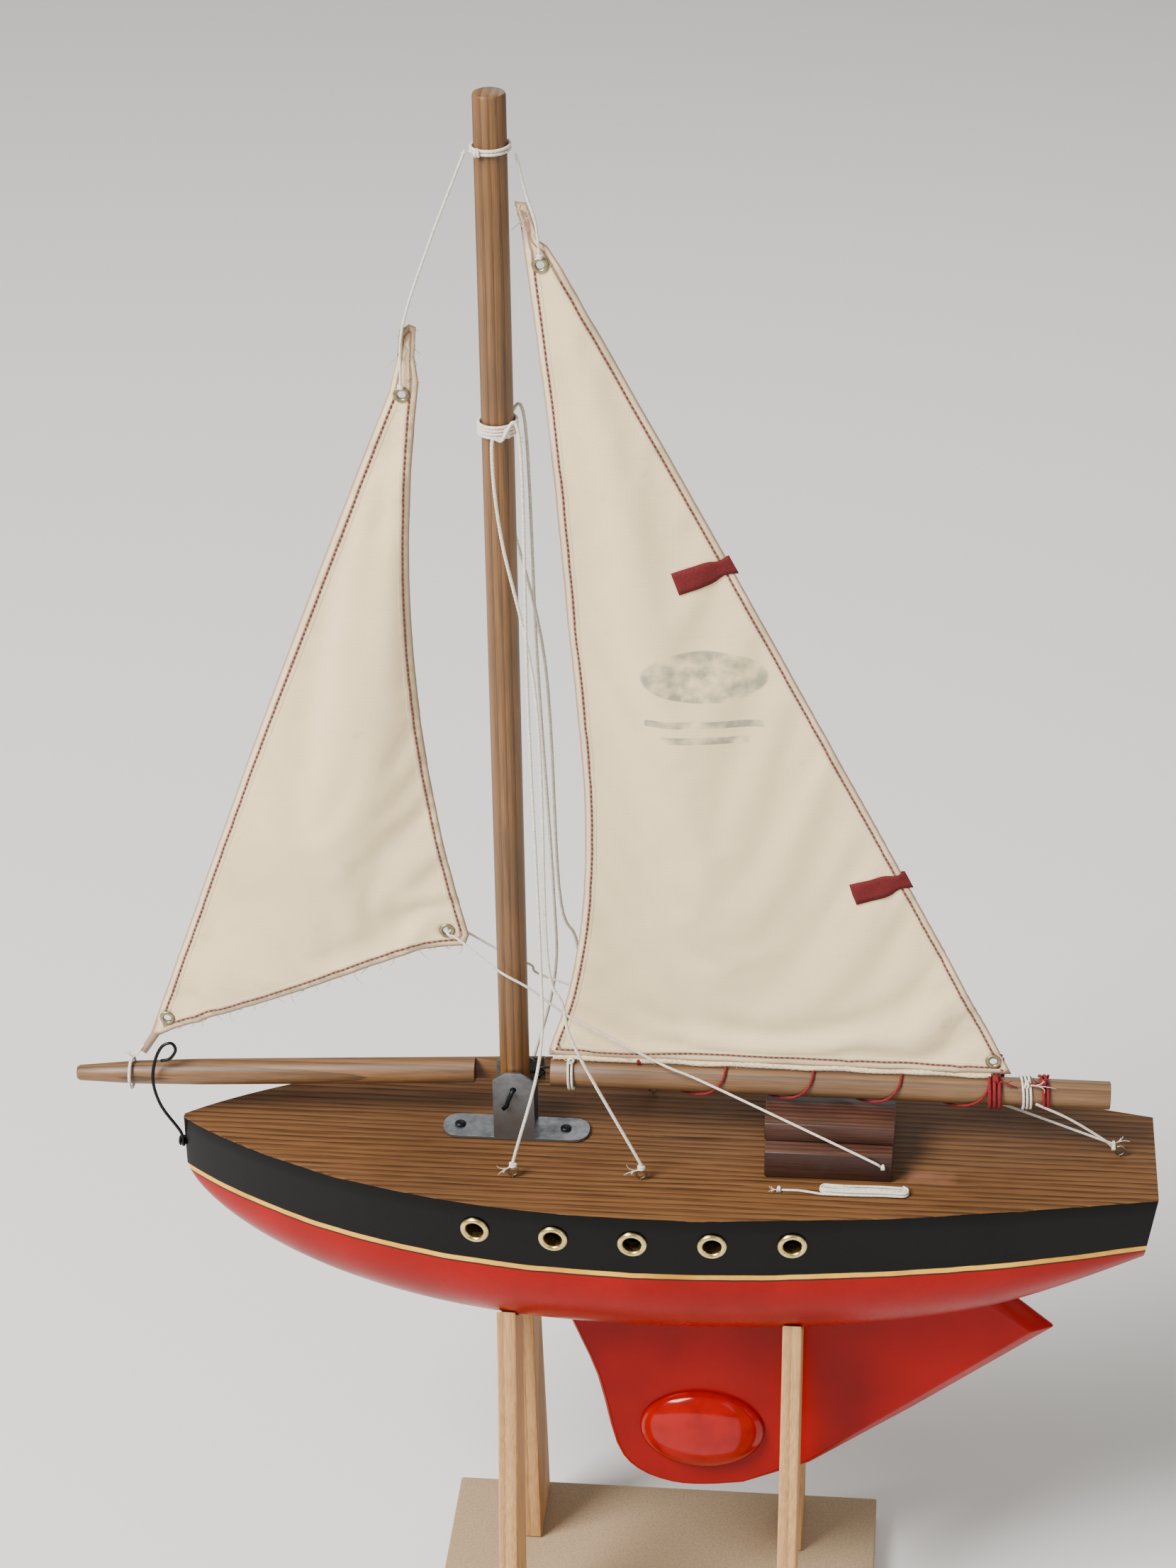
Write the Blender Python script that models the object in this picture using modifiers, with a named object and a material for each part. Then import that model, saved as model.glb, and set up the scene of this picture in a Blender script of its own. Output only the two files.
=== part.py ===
"""A wooden pond yacht on its cradle stand: metres, +Z up, bow towards -X, port side towards -Y.

The origin is the centre of the stand's underside. Sizes below are in millimetres, and lie in the
deck frame: x along the hull from its middle, y from the centreline, z up from the deck.
"""

import math

import bmesh
import bpy
from mathutils import Matrix, Vector

MM = 0.001
GAP = 0.3  # between pieces that touch

# Hull
HULL_LENGTH = 350.0
BEAM = 100.0
TRANSOM_BEAM = 51.0
STEM_WIDTH = 2.4
HULL_DEPTH = 70.0
TRANSOM_DEPTH = 33.0
FOREFOOT_DEPTH = 20.0
BAND_DEPTH = 25.2
BAND_RISE = 5.0
TUMBLE = 2.0
BILGE_POWER = 2.2
TRANSOM_RAKE = 0.14
TRANSOM_BULGE = 1.8
STATIONS = 30
SECTION_STEPS = 8

# Portholes
PORTHOLES = 5
PORTHOLE_FIRST_X = -63.4
PORTHOLE_PITCH = 27.9
PORTHOLE_Z = -11.4
EYELET_OUTER = 5.3
EYELET_INNER = 3.2
EYELET_BARREL = 3.8
EYELET_DEPTH = 4.5
EYELET_PROUD = 1.0

# Keel and its ballast
KEEL_THICK = 10.0
KEEL_BOTTOM = -158.0
KEEL_FRONT_X = -40.0
KEEL_HEEL = (55.0, -144.5)
KEEL_TAIL = (143.0, -77.0)
KEEL_LEAVES_X = 121.0
KEEL_SLOT_DEPTH = 6.0
KEEL_BEVEL = 5.5
KEEL_EDGE = 0.7
KEEL_EASING = 1.2
BALLAST_X = 14.5
BALLAST_Z = -129.5
BALLAST_LENGTH = 47.0
BALLAST_HEIGHT = 35.0
BALLAST_BULGE = 7.0

# Stand
BASE_LENGTH = 168.0
BASE_WIDTH = 120.0
BASE_THICK = 10.0
BASE_X = -3.3
KEEL_CLEAR = 58.0
ARM_THICK = 7.0
ARM_FORE_X = -54.5
ARM_AFT_X = 48.5
ARM_FOOT_INNER = 26.0
ARM_FOOT_OUTER = 58.0
ARM_HEAD_INNER = 15.0
ARM_HEAD_OUTER = 36.0
ARM_WAIST = 3.0

# Mast, its bracket and the spars
MAST_X = -53.4
MAST_RADIUS = 5.3
MAST_TOP = 389.0
MAST_CHAMFER = 1.6
BRACKET_LENGTH = 53.0
SHEET_METAL = 1.0
TAB_WIDTH = 14.7
TAB_HEIGHT = 29.0
PIN_RADIUS = 0.8
PIN_Z = 22.0
NAIL_SHANK = 0.8
NAIL_HEAD = 2.0
NAIL_LENGTH = 8.0
BRACKET_NAILS = {"fore": -20.3, "aft": 18.0}
BOWSPRIT_TIP = (-213.0, 0.0, 16.6)
BOWSPRIT_HEEL_X = -43.5
BOWSPRIT_HEEL_Z = 22.0
BOWSPRIT_RADIUS = 4.7
BOWSPRIT_TIP_RADIUS = 2.8
BOWSPRIT_TAPER = 22.0
LAP_START_X = -68.5
BOOM_FORE_X = -40.5
BOOM_LENGTH = 198.0
BOOM_RADIUS = 5.0
BOOM_Z = 26.0
GOOSENECK_X = -44.7
GOOSENECK_RING = 1.9
WIRE = 0.6

# Cabin block
CABIN_X = 59.5
CABIN_LOWER = (45.0, 44.4, 10.7)
CABIN_UPPER = (46.0, 31.0, 7.2)

# Sails: their outlines, in the plane of the spars
SAIL_THICK = 0.8
JIB_TONGUE = ((-78.6, 291.0), (-78.0, 300.0), (-77.2, 310.0), (-85.6, 310.0), (-87.4, 300.0))
JIB_HEAD = (-88.3, 288.0)
JIB_LUFF_ROUND = 1.5
JIB_TAIL = ((-182.2, 42.0), (-184.6, 35.5), (-189.0, 28.4), (-186.8, 26.8), (-181.6, 34.6))
JIB_FOOT = ((-176.0, 37.6), (-158.0, 45.2), (-124.0, 60.4), (-96.0, 72.4), (-80.0, 76.4), (-70.0, 77.4))
JIB_CLEW = (-68.5, 81.5)
JIB_LEECH_HOLLOW = 10.0
# The mainsail's luff and head are measured from the mast's after face, and its foot from the boom's top.
LUFF_X = MAST_X + MAST_RADIUS
FOOT_Z = BOOM_Z + BOOM_RADIUS + 2.4
MAIN_TONGUE = ((12.5, 339.0), (9.7, 341.0), (9.5, 345.0), (6.8, 353.5), (0.7, 353.5), (1.9, 345.0))
MAIN_LUFF = ((4.7, 336.0), (10.7, 280.0), (16.3, 206.0), (20.7, 143.0), (19.9, 99.0), (14.7, 62.0))
MAIN_TACK = (LUFF_X + 7.1, FOOT_Z)
MAIN_CLEW = (122.5, FOOT_Z)
MAIN_LEECH_TOP = (LUFF_X + 16.6, 331.0)
MAIN_LEECH_ROUND = 1.0
GROMMET_INNER = 1.5
GROMMET_BARREL = 2.0
GROMMET_OUTER = 2.8
JIB_GROMMETS = {"head": (-84.3, 287.0), "tack": (-178.2, 42.2), "clew": (-76.1, 83.4)}
MAIN_GROMMETS = {"head": (LUFF_X + 9.6, 332.6), "clew": (116.0, FOOT_Z + 5.0)}
RIBBONS = {"upper": 230.0, "lower": 112.0}
RIBBON_LENGTH = 21.0
RIBBON_WIDTH = 8.0
RIBBON_THICK = 0.6
RIBBON_TILT = math.radians(20.0)

# Cords and lashings
STRING = 0.6
SHROUD_BAND_Z = 277.0
SHROUD_BAND_HEIGHT = 4.6
SHROUD_BAND_THICK = 1.3
MASTHEAD_LASHING_Z = 371.0
MASTHEAD_LASHING_HEIGHT = 2.2
MASTHEAD_LASHING_THICK = 1.1
SHROUD_FORE_EYE = (-51.4, 28.6)
SHROUD_AFT_EYE = (-6.1, 26.9)
STERN_EYE_X = 162.3
EYE_RADIUS = 1.8
EYE_WIRE = 0.45
EYE_SHANK = 6.0
BORE_CLEAR = 0.3
LACING_PITCH = 31.0
LACING_TURNS = 4
LACING_START_X = -9.0
LACING_WIRE = 0.5
CLEW_LASHING_X = 117.2
CLEW_LASHING_WIRE = 0.8
TACK_LASHING_X = -33.0
HANK_START = (43.5, -30.2)
HANK_LEAD = 11.5
HANK_LENGTH = 33.0
HANK_WIDTH = 6.4
HANK_HEIGHT = 3.4
HANK_CORD = 0.45

HULL_X = -BASE_X
DECK_Z = BASE_THICK - KEEL_BOTTOM + KEEL_CLEAR
PLATE_Z = GAP + SHEET_METAL
TAB_INNER_Y = MAST_RADIUS + 2 * GAP
TAB_OUTER_Y = TAB_INNER_Y + SHEET_METAL
HALF = HULL_LENGTH / 2

for old in list(bpy.data.objects):
    bpy.data.objects.remove(old, do_unlink=True)
parts = bpy.data.collections.new("pond_yacht")
cutters = bpy.data.collections.new("cutters")
bpy.context.scene.collection.children.link(parts)
bpy.context.scene.collection.children.link(cutters)
cutters.hide_render = True


def at(x, y, z):
    """A point of the deck frame, in metres from the part's origin."""
    return Vector((x + HULL_X, y, z + DECK_Z)) * MM


def material(name, colour, roughness, metallic=0.0):
    made = bpy.data.materials.new(name)
    made.use_nodes = True
    shader = made.node_tree.nodes["Principled BSDF"]
    shader.inputs["Base Color"].default_value = (*colour, 1.0)
    shader.inputs["Roughness"].default_value = roughness
    shader.inputs["Metallic"].default_value = metallic
    return made


HULL_PAINT = material("hull_paint", (0.48, 0.012, 0.012), 0.35)
KEEL_PAINT = material("keel_paint", (0.45, 0.008, 0.008), 0.22)
BALLAST_PAINT = material("ballast_paint", (0.45, 0.008, 0.008), 0.22)
SPAR_WOOD = material("spar_wood", (0.29, 0.14, 0.06), 0.5)
DARK_WOOD = material("dark_wood", (0.09, 0.035, 0.015), 0.55)
PALE_WOOD = material("pale_wood", (0.50, 0.30, 0.14), 0.65)
FIBREBOARD = material("fibreboard", (0.32, 0.24, 0.16), 0.8)
COTTON = material("sailcloth", (0.70, 0.62, 0.50), 0.9)
CORD = material("cord", (0.62, 0.58, 0.50), 0.9)
RED_THREAD = material("red_thread", (0.22, 0.01, 0.015), 0.8)
ZINC = material("zinc_sheet", (0.20, 0.20, 0.21), 0.45, 0.9)
BRASS = material("brass", (0.60, 0.48, 0.24), 0.3, 1.0)
STEEL = material("dark_steel", (0.02, 0.02, 0.022), 0.4, 0.8)


def settle(obj, finish=None, cutter=False):
    """Files an object with the parts, or with the cutters, and gives it its material."""
    (cutters if cutter else parts).objects.link(obj)
    if cutter:
        obj.hide_render = True
        obj.display_type = "WIRE"
    if finish:
        obj.data.materials.append(finish)
    return obj


def from_bmesh(name, shape, finish=None, cutter=False):
    bmesh.ops.recalc_face_normals(shape, faces=shape.faces)
    mesh = bpy.data.meshes.new(name)
    shape.to_mesh(mesh)
    shape.free()
    return settle(bpy.data.objects.new(name, mesh), finish, cutter)


def smooth(obj, degrees=40):
    obj.data.shade_smooth()
    obj.data.set_sharp_from_angle(angle=math.radians(degrees))
    return obj


def box(name, low, high, finish=None, cutter=False, bevel=0.0):
    """A box between two corners of the deck frame."""
    shape = bmesh.new()
    bmesh.ops.create_cube(shape, size=1.0)
    low, high = at(*low), at(*high)
    bmesh.ops.scale(shape, vec=high - low, verts=shape.verts)
    obj = from_bmesh(name, shape, finish, cutter)
    obj.location = (low + high) / 2
    if bevel:
        edge = obj.modifiers.new("edges", "BEVEL")
        edge.width = bevel * MM
        edge.segments = 2
    return obj


def rod(name, start, end, radius, finish=None, cutter=False, sides=16, end_radius=None):
    """A round rod between two points of the deck frame."""
    start, end = at(*start), at(*end)
    shape = bmesh.new()
    far = radius if end_radius is None else end_radius
    bmesh.ops.create_cone(
        shape, cap_ends=True, segments=sides, radius1=radius * MM, radius2=far * MM,
        depth=(end - start).length,
    )
    obj = from_bmesh(name, shape, finish, cutter)
    obj.matrix_world = Matrix.Translation((start + end) / 2) @ aim(end - start)
    return obj


def aim(direction):
    return direction.to_track_quat("Z", "Y").to_matrix().to_4x4()


def turned(name, profile, finish, place, direction=Vector((0, 0, 1)), steps=16):
    """A closed or axis-to-axis profile of (radius, height) in millimetres, run down its outer side."""
    mesh = bpy.data.meshes.new(name)
    points = [(r * MM, 0, h * MM) for r, h in profile]
    closed = min(r for r, _ in profile) > 0
    edges = [(i, i + 1) for i in range(len(points) - 1)]
    if closed:
        edges.append((len(points) - 1, 0))
    mesh.from_pydata(points, edges, [])
    obj = settle(bpy.data.objects.new(name, mesh), finish)
    screw = obj.modifiers.new("turn", "SCREW")
    screw.steps = steps
    screw.render_steps = steps
    screw.use_merge_vertices = True
    screw.merge_threshold = 0.00001
    obj.matrix_world = Matrix.Translation(place) @ aim(direction)
    return obj


def catmull(points, pieces):
    """Points of one smooth curve through the given points, with this many steps between each two."""
    points = [Vector(p) for p in points]
    padded = [2 * points[0] - points[1], *points, 2 * points[-1] - points[-2]]
    found = []
    for a, b, c, d in zip(padded, padded[1:], padded[2:], padded[3:]):
        for i in range(pieces):
            t = i / pieces
            found.append(
                0.5 * (2 * b + (c - a) * t + (2 * a - 5 * b + 4 * c - d) * t**2
                       + (3 * b - a - 3 * c + d) * t**3)
            )
    return [*found, points[-1]]


def tube(name, points, radius, finish, closed=False, sides=2, cutter=False):
    """A round cord or wire along points of the deck frame."""
    curve = bpy.data.curves.new(name, "CURVE")
    curve.dimensions = "3D"
    curve.bevel_depth = radius * MM
    curve.bevel_resolution = sides
    curve.use_fill_caps = not closed
    spline = curve.splines.new("POLY")
    spline.points.add(len(points) - 1)
    for target, point in zip(spline.points, points):
        target.co = (*at(*point), 1.0)
    spline.use_cyclic_u = closed
    return settle(bpy.data.objects.new(name, curve), finish, cutter)


def as_mesh(obj):
    """A curve made a mesh whose caps are welded, under the same name."""
    graph = bpy.context.evaluated_depsgraph_get()
    mesh = bpy.data.meshes.new_from_object(obj.evaluated_get(graph))
    shape = bmesh.new()
    shape.from_mesh(mesh)
    bmesh.ops.remove_doubles(shape, verts=shape.verts, dist=0.000001)
    shape.to_mesh(mesh)
    shape.free()
    name, place, home = obj.name, obj.matrix_world.copy(), obj.users_collection[0]
    bpy.data.objects.remove(obj, do_unlink=True)
    made = bpy.data.objects.new(name, mesh)
    home.objects.link(made)
    made.matrix_world = place
    made.hide_render = home is cutters
    return made


def plate(name, outline, thick, finish, holes=(), hole_radius=0.0, upright=True, base=0.0, cutter=False):
    """A flat piece cut to an outline: in the x-z plane if upright, or lying at height base."""
    curve = bpy.data.curves.new(name, "CURVE")
    curve.dimensions = "2D"
    curve.fill_mode = "BOTH"
    curve.extrude = thick * MM / 2
    loops = [outline]
    for u, v in holes:
        steps = 14
        turn = [2 * math.pi * i / steps for i in range(steps)]
        loops.append([(u + hole_radius * math.cos(a), v + hole_radius * math.sin(a)) for a in turn])
    for loop in loops:
        spline = curve.splines.new("POLY")
        spline.points.add(len(loop) - 1)
        for target, (u, v) in zip(spline.points, loop):
            target.co = (u * MM, v * MM, 0.0, 1.0)
        spline.use_cyclic_u = True
    obj = settle(bpy.data.objects.new(name, curve), finish, cutter)
    if upright:
        obj.matrix_world = Matrix.Translation(at(0, 0, 0)) @ Matrix.Rotation(math.pi / 2, 4, "X")
    else:
        obj.location = at(0, 0, base + thick / 2)
    return obj


def cut(target, cutter, operation="DIFFERENCE"):
    boolean = target.modifiers.new(cutter.name, "BOOLEAN")
    boolean.operation = operation
    boolean.object = cutter
    return target


def bored(target, name, start, end, radius):
    """Bores a round hole through part of a mesh piece."""
    return cut(target, rod(name, start, end, radius, cutter=True, sides=12))


def pivot(obj, point):
    """Makes a moving piece a plain mesh with its origin on its joint's axis, at a point of the deck frame."""
    bpy.context.view_layer.update()
    obj = as_mesh(obj)
    home = Matrix.Translation(at(*point))
    obj.data.transform(home.inverted() @ obj.matrix_world)
    obj.matrix_world = home
    return obj


# The hull's form

def share(x, edge):
    return min(1.0, max(0.0, x / edge))


def half_breadth(x):
    """Half the deck's width at x."""
    if x < 0:
        shape = (1 - share(-x, HALF) ** 2.35) ** 0.92
        return STEM_WIDTH / 2 + (BEAM - STEM_WIDTH) / 2 * shape
    return BEAM / 2 - (BEAM - TRANSOM_BEAM) / 2 * share(x, HALF) ** 1.55


def band_drop(x):
    """Depth of the painted topsides below the deck."""
    return BAND_DEPTH - BAND_RISE * abs(x / HALF) ** 3


def keel_drop(x):
    """Depth of the hull's underside on the centreline."""
    if x < 0:
        return FOREFOOT_DEPTH + (HULL_DEPTH - FOREFOOT_DEPTH) * (1 - share(-x, HALF) ** 2.6) ** 0.6
    return HULL_DEPTH - (HULL_DEPTH - TRANSOM_DEPTH) * share(x, HALF) ** 3


def side_y(x, drop):
    """Half the hull's width at x, this far below the deck."""
    deck, band, low = half_breadth(x), band_drop(x), keel_drop(x)
    waist = deck - TUMBLE * deck / (BEAM / 2)
    if drop <= band:
        return deck + (waist - deck) * drop / band
    depth = share(drop - band, low - band)
    return waist * (1 - depth**BILGE_POWER) ** (1 / BILGE_POWER)


def section(x):
    """The hull's outline at x, from the port deck edge round its underside to the starboard one."""
    deck, band, low = half_breadth(x), band_drop(x), keel_drop(x)
    waist = deck - TUMBLE * deck / (BEAM / 2)
    side = [(deck, 0.0), ((deck + waist) / 2, band / 2), (waist, band)]
    for i in range(1, SECTION_STEPS + 1):
        turn = math.pi / 2 * i / SECTION_STEPS
        across = waist * math.cos(turn) ** (2 / BILGE_POWER)
        side.append((across, band + (low - band) * math.sin(turn) ** (2 / BILGE_POWER)))
    side[-1] = (0.0, low)
    port = [(-y, -d) for y, d in side]
    return port + [(-y, z) for y, z in reversed(port[:-1])]


def station(i):
    """Stations lie closer together towards both ends."""
    return -HALF * math.cos(math.pi * i / (STATIONS - 1))


def aft_shift(x, y, z):
    """The transom leans forward below the deck and bows out in the middle."""
    near = share(x - (HALF - 55), 55)
    return near * (TRANSOM_RAKE * z + TRANSOM_BULGE * (1 - (y / (TRANSOM_BEAM / 2)) ** 2))


def build_hull():
    shape = bmesh.new()
    rings = []
    for i in range(STATIONS):
        x = station(i)
        rings.append([shape.verts.new(at(x + aft_shift(x, y, z), y, z)) for y, z in section(x)])
    count = len(rings[0])
    for fore, aft in zip(rings, rings[1:]):
        for j in range(count - 1):
            shape.faces.new((fore[j], fore[j + 1], aft[j + 1], aft[j]))
        shape.faces.new((fore[-1], fore[0], aft[0], aft[-1]))
    for ring in (rings[0], rings[-1]):
        for j in range(count // 2 - 1):
            shape.faces.new((ring[j], ring[j + 1], ring[count - 2 - j], ring[count - 1 - j]))
        shape.faces.new(ring[count // 2 - 1:count // 2 + 2])
    return smooth(from_bmesh("hull", shape, HULL_PAINT))


hull = build_hull()


def build_portholes():
    for side, word in ((-1, "port"), (1, "starboard")):
        for i in range(PORTHOLES):
            x = PORTHOLE_FIRST_X + PORTHOLE_PITCH * i
            y = side_y(x, -PORTHOLE_Z)
            slope = (side_y(x + 1, -PORTHOLE_Z) - side_y(x - 1, -PORTHOLE_Z)) / 2
            lean = (side_y(x, 1 - PORTHOLE_Z) - side_y(x, -1 - PORTHOLE_Z)) / 2
            out = Vector((-slope, side, lean)).normalized()
            face = at(x, side * y, PORTHOLE_Z)
            curve_clear = 0.45
            profile = [
                (EYELET_INNER + 0.5, EYELET_PROUD + curve_clear),
                (EYELET_OUTER - 0.5, EYELET_PROUD + curve_clear - 0.1),
                (EYELET_OUTER, curve_clear + 0.35),
                (EYELET_OUTER, curve_clear),
                (EYELET_BARREL, curve_clear),
                (EYELET_BARREL, -EYELET_DEPTH),
                (EYELET_INNER, -EYELET_DEPTH),
                (EYELET_INNER, EYELET_PROUD + curve_clear - 0.5),
            ]
            turned(f"porthole_{word}_{i + 1}", profile, BRASS, face, out, steps=20)
            seat = Vector((x, side * y, PORTHOLE_Z))
            bored(hull, f"bore_{word}_{i + 1}", seat - out * (EYELET_DEPTH + 1.5), seat + out * 3,
                  EYELET_BARREL + BORE_CLEAR)


build_portholes()


# Keel

def keel_top(grow):
    """The keel's upper edge, a slot's depth inside the hull, from its front to where it leaves the hull."""
    steps = 9
    reach = KEEL_LEAVES_X - KEEL_FRONT_X + 2 * grow
    stops = [KEEL_FRONT_X - grow + reach * i / steps for i in range(steps + 1)]
    return [(x, -keel_drop(x) + KEEL_SLOT_DEPTH + grow) for x in stops]


def keel_outline():
    """(x, z, bevel width, half-thickness at the edge), anticlockwise seen from port, from the front."""
    depth = KEEL_BOTTOM + HULL_DEPTH
    front = catmull(
        [(KEEL_FRONT_X, -HULL_DEPTH + KEEL_SLOT_DEPTH, 0), (KEEL_FRONT_X + 6, -HULL_DEPTH - 13, 0),
         (KEEL_FRONT_X + 15, KEEL_BOTTOM - depth * 0.57, 0), (KEEL_FRONT_X + 22, KEEL_BOTTOM + 18, 0),
         (KEEL_FRONT_X + 30, KEEL_BOTTOM + 6, 0), (KEEL_FRONT_X + 43, KEEL_BOTTOM + 0.4, 0),
         (KEEL_FRONT_X + 56, KEEL_BOTTOM, 0), (KEEL_FRONT_X + 70, KEEL_BOTTOM + 2, 0)],
        3,
    )
    eased = KEEL_THICK / 2 - KEEL_EASING
    found = [(p.x, p.y, KEEL_EASING, eased) for p in front[1:]]
    found.append((*KEEL_HEEL, KEEL_EASING * 1.5, eased))
    found.append((KEEL_TAIL[0] - 50, KEEL_TAIL[1] - 40.5, KEEL_BEVEL * 0.9, KEEL_EDGE * 1.3))
    found.append((*KEEL_TAIL, KEEL_BEVEL, KEEL_EDGE))
    found.append((KEEL_LEAVES_X, -keel_drop(KEEL_LEAVES_X) - GAP, KEEL_BEVEL * 1.3, KEEL_EDGE))
    found.extend((x, z, KEEL_EASING, eased) for x, z in reversed(keel_top(0)))
    return found


def build_keel():
    """A blade with eased edges, planed thin towards its tail, in a slot in the hull's underside."""
    outline = keel_outline()
    count = len(outline)
    rings = [[], [], [], []]
    shape = bmesh.new()
    for i, (x, z, width, edge) in enumerate(outline):
        before, after = outline[i - 1], outline[(i + 1) % count]
        arrive = Vector((x - before[0], z - before[1])).normalized()
        leave = Vector((after[0] - x, after[1] - z)).normalized()
        inward = Vector((-arrive.y - leave.y, arrive.x + leave.x)).normalized()
        reach = width / max(0.5, inward.dot(Vector((-arrive.y, arrive.x))))
        face = Vector((x, z)) + inward * reach
        rings[0].append(shape.verts.new(at(face.x, -KEEL_THICK / 2, face.y)))
        rings[1].append(shape.verts.new(at(x, -edge, z)))
        rings[2].append(shape.verts.new(at(x, edge, z)))
        rings[3].append(shape.verts.new(at(face.x, KEEL_THICK / 2, face.y)))
    for first, second in zip(rings, rings[1:]):
        for j in range(count):
            k = (j + 1) % count
            shape.faces.new((first[j], first[k], second[k], second[j]))
    shape.faces.new(rings[0])
    shape.faces.new(rings[3])
    from_bmesh("keel", shape, KEEL_PAINT)
    slot_low = -HULL_DEPTH - 20
    ends = keel_top(GAP)
    slot = plate("keel_slot", [*ends, (ends[-1][0], slot_low), (ends[0][0], slot_low)],
                 KEEL_THICK + 2 * GAP, None, cutter=True)
    bpy.context.view_layer.update()
    cut(hull, as_mesh(slot))


build_keel()


def build_ballast():
    """A cast oval dome on each side of the keel."""
    for side, word in ((-1, "port"), (1, "starboard")):
        shape = bmesh.new()
        bmesh.ops.create_uvsphere(shape, u_segments=24, v_segments=10, radius=1.0)
        bmesh.ops.bisect_plane(
            shape, geom=[*shape.verts, *shape.edges, *shape.faces], plane_co=(0, 0, 0),
            plane_no=(0, side, 0), clear_inner=True,
        )
        bmesh.ops.holes_fill(shape, edges=shape.edges)
        size = Vector((BALLAST_LENGTH / 2, BALLAST_BULGE, BALLAST_HEIGHT / 2)) * MM
        bmesh.ops.scale(shape, vec=size, verts=shape.verts)
        dome = smooth(from_bmesh(f"ballast_{word}", shape, BALLAST_PAINT))
        dome.location = at(BALLAST_X, side * (KEEL_THICK / 2 + GAP), BALLAST_Z)


build_ballast()


# Stand

def cradle_z(x, y, thick):
    """Height of the hull's underside over a board of this thickness, at y from the centreline."""
    low = 0.0
    for edge in (x - thick / 2, x, x + thick / 2):
        band, bottom = band_drop(edge), keel_drop(edge)
        waist = side_y(edge, band)
        across = min(1.0, abs(y) / waist)
        low = min(low, -(band + (bottom - band) * (1 - across**BILGE_POWER) ** (1 / BILGE_POWER)))
    return low


def build_arm(name, x, side):
    """A cradle arm: a thin board on edge whose sloping head follows the hull."""
    foot = KEEL_BOTTOM - KEEL_CLEAR + GAP
    heads = 12
    reach = ARM_HEAD_OUTER - ARM_HEAD_INNER
    head = [ARM_HEAD_INNER + reach * i / heads for i in range(heads + 1)]
    top = [(y, cradle_z(x, y, ARM_THICK) - 2 * GAP) for y in head]
    span = top[-1][1] - foot
    outer = catmull(
        [(top[-1][0], top[-1][1], 0), (ARM_HEAD_OUTER + 3, foot + span * 0.75, 0),
         (ARM_HEAD_OUTER + 8 + ARM_WAIST, foot + span * 0.45, 0), (ARM_FOOT_OUTER - 4, foot + span * 0.2, 0),
         (ARM_FOOT_OUTER, foot, 0)],
        4,
    )
    outline = [*top[:-1], *[(p.x, p.y) for p in outer], (ARM_FOOT_INNER, foot)]
    shape = bmesh.new()
    faces = []
    for shift in (-ARM_THICK / 2, ARM_THICK / 2):
        faces.append([shape.verts.new(at(x + shift, side * y, z)) for y, z in outline])
    shape.faces.new(faces[0])
    shape.faces.new(faces[1])
    count = len(outline)
    for j in range(count):
        k = (j + 1) % count
        shape.faces.new((faces[0][j], faces[0][k], faces[1][k], faces[1][j]))
    return from_bmesh(name, shape, PALE_WOOD)


def build_stand():
    low = KEEL_BOTTOM - KEEL_CLEAR
    box(
        "stand_base",
        (BASE_X - BASE_LENGTH / 2, -BASE_WIDTH / 2, low - BASE_THICK),
        (BASE_X + BASE_LENGTH / 2, BASE_WIDTH / 2, low),
        FIBREBOARD, bevel=0.8,
    )
    for side, word in ((-1, "port"), (1, "starboard")):
        build_arm(f"stand_arm_{word}_fore", ARM_FORE_X, side)
        build_arm(f"stand_arm_{word}_aft", ARM_AFT_X, side)


build_stand()


# Cabin

def build_cabin():
    length, width, height = CABIN_LOWER
    box("cabin_step", (CABIN_X - length / 2, -width / 2, GAP),
        (CABIN_X + length / 2, width / 2, GAP + height), DARK_WOOD, bevel=0.5)
    top = 2 * GAP + height
    length, width, height = CABIN_UPPER
    box("cabin_top", (CABIN_X - length / 2, -width / 2, top),
        (CABIN_X + length / 2, width / 2, top + height), DARK_WOOD, bevel=0.5)


build_cabin()


# Mast, bracket, bowsprit

def build_mast():
    top, foot = MAST_TOP, PLATE_Z + GAP
    profile = [(0, top), (MAST_RADIUS - MAST_CHAMFER, top), (MAST_RADIUS, top - MAST_CHAMFER),
               (MAST_RADIUS, foot), (0, foot)]
    mast = turned("mast", profile, SPAR_WOOD, at(MAST_X, 0, 0), steps=24)
    return bored(mast, "mast_pin_bore", (MAST_X, -9, PIN_Z), (MAST_X, 9, PIN_Z), PIN_RADIUS + BORE_CLEAR)


def round_ended(length, width, steps=4):
    """A strip's outline with rounded ends, centred on the mast."""
    corner = width * 0.42
    found = []
    for sx, sy, start in ((1, 1, 0), (-1, 1, 90), (-1, -1, 180), (1, -1, 270)):
        centre = (MAST_X + sx * (length / 2 - corner), sy * (width / 2 - corner))
        for i in range(steps + 1):
            turn = math.radians(start + 90 * i / steps)
            found.append((centre[0] + corner * math.cos(turn), centre[1] + corner * math.sin(turn)))
    return found


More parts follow.
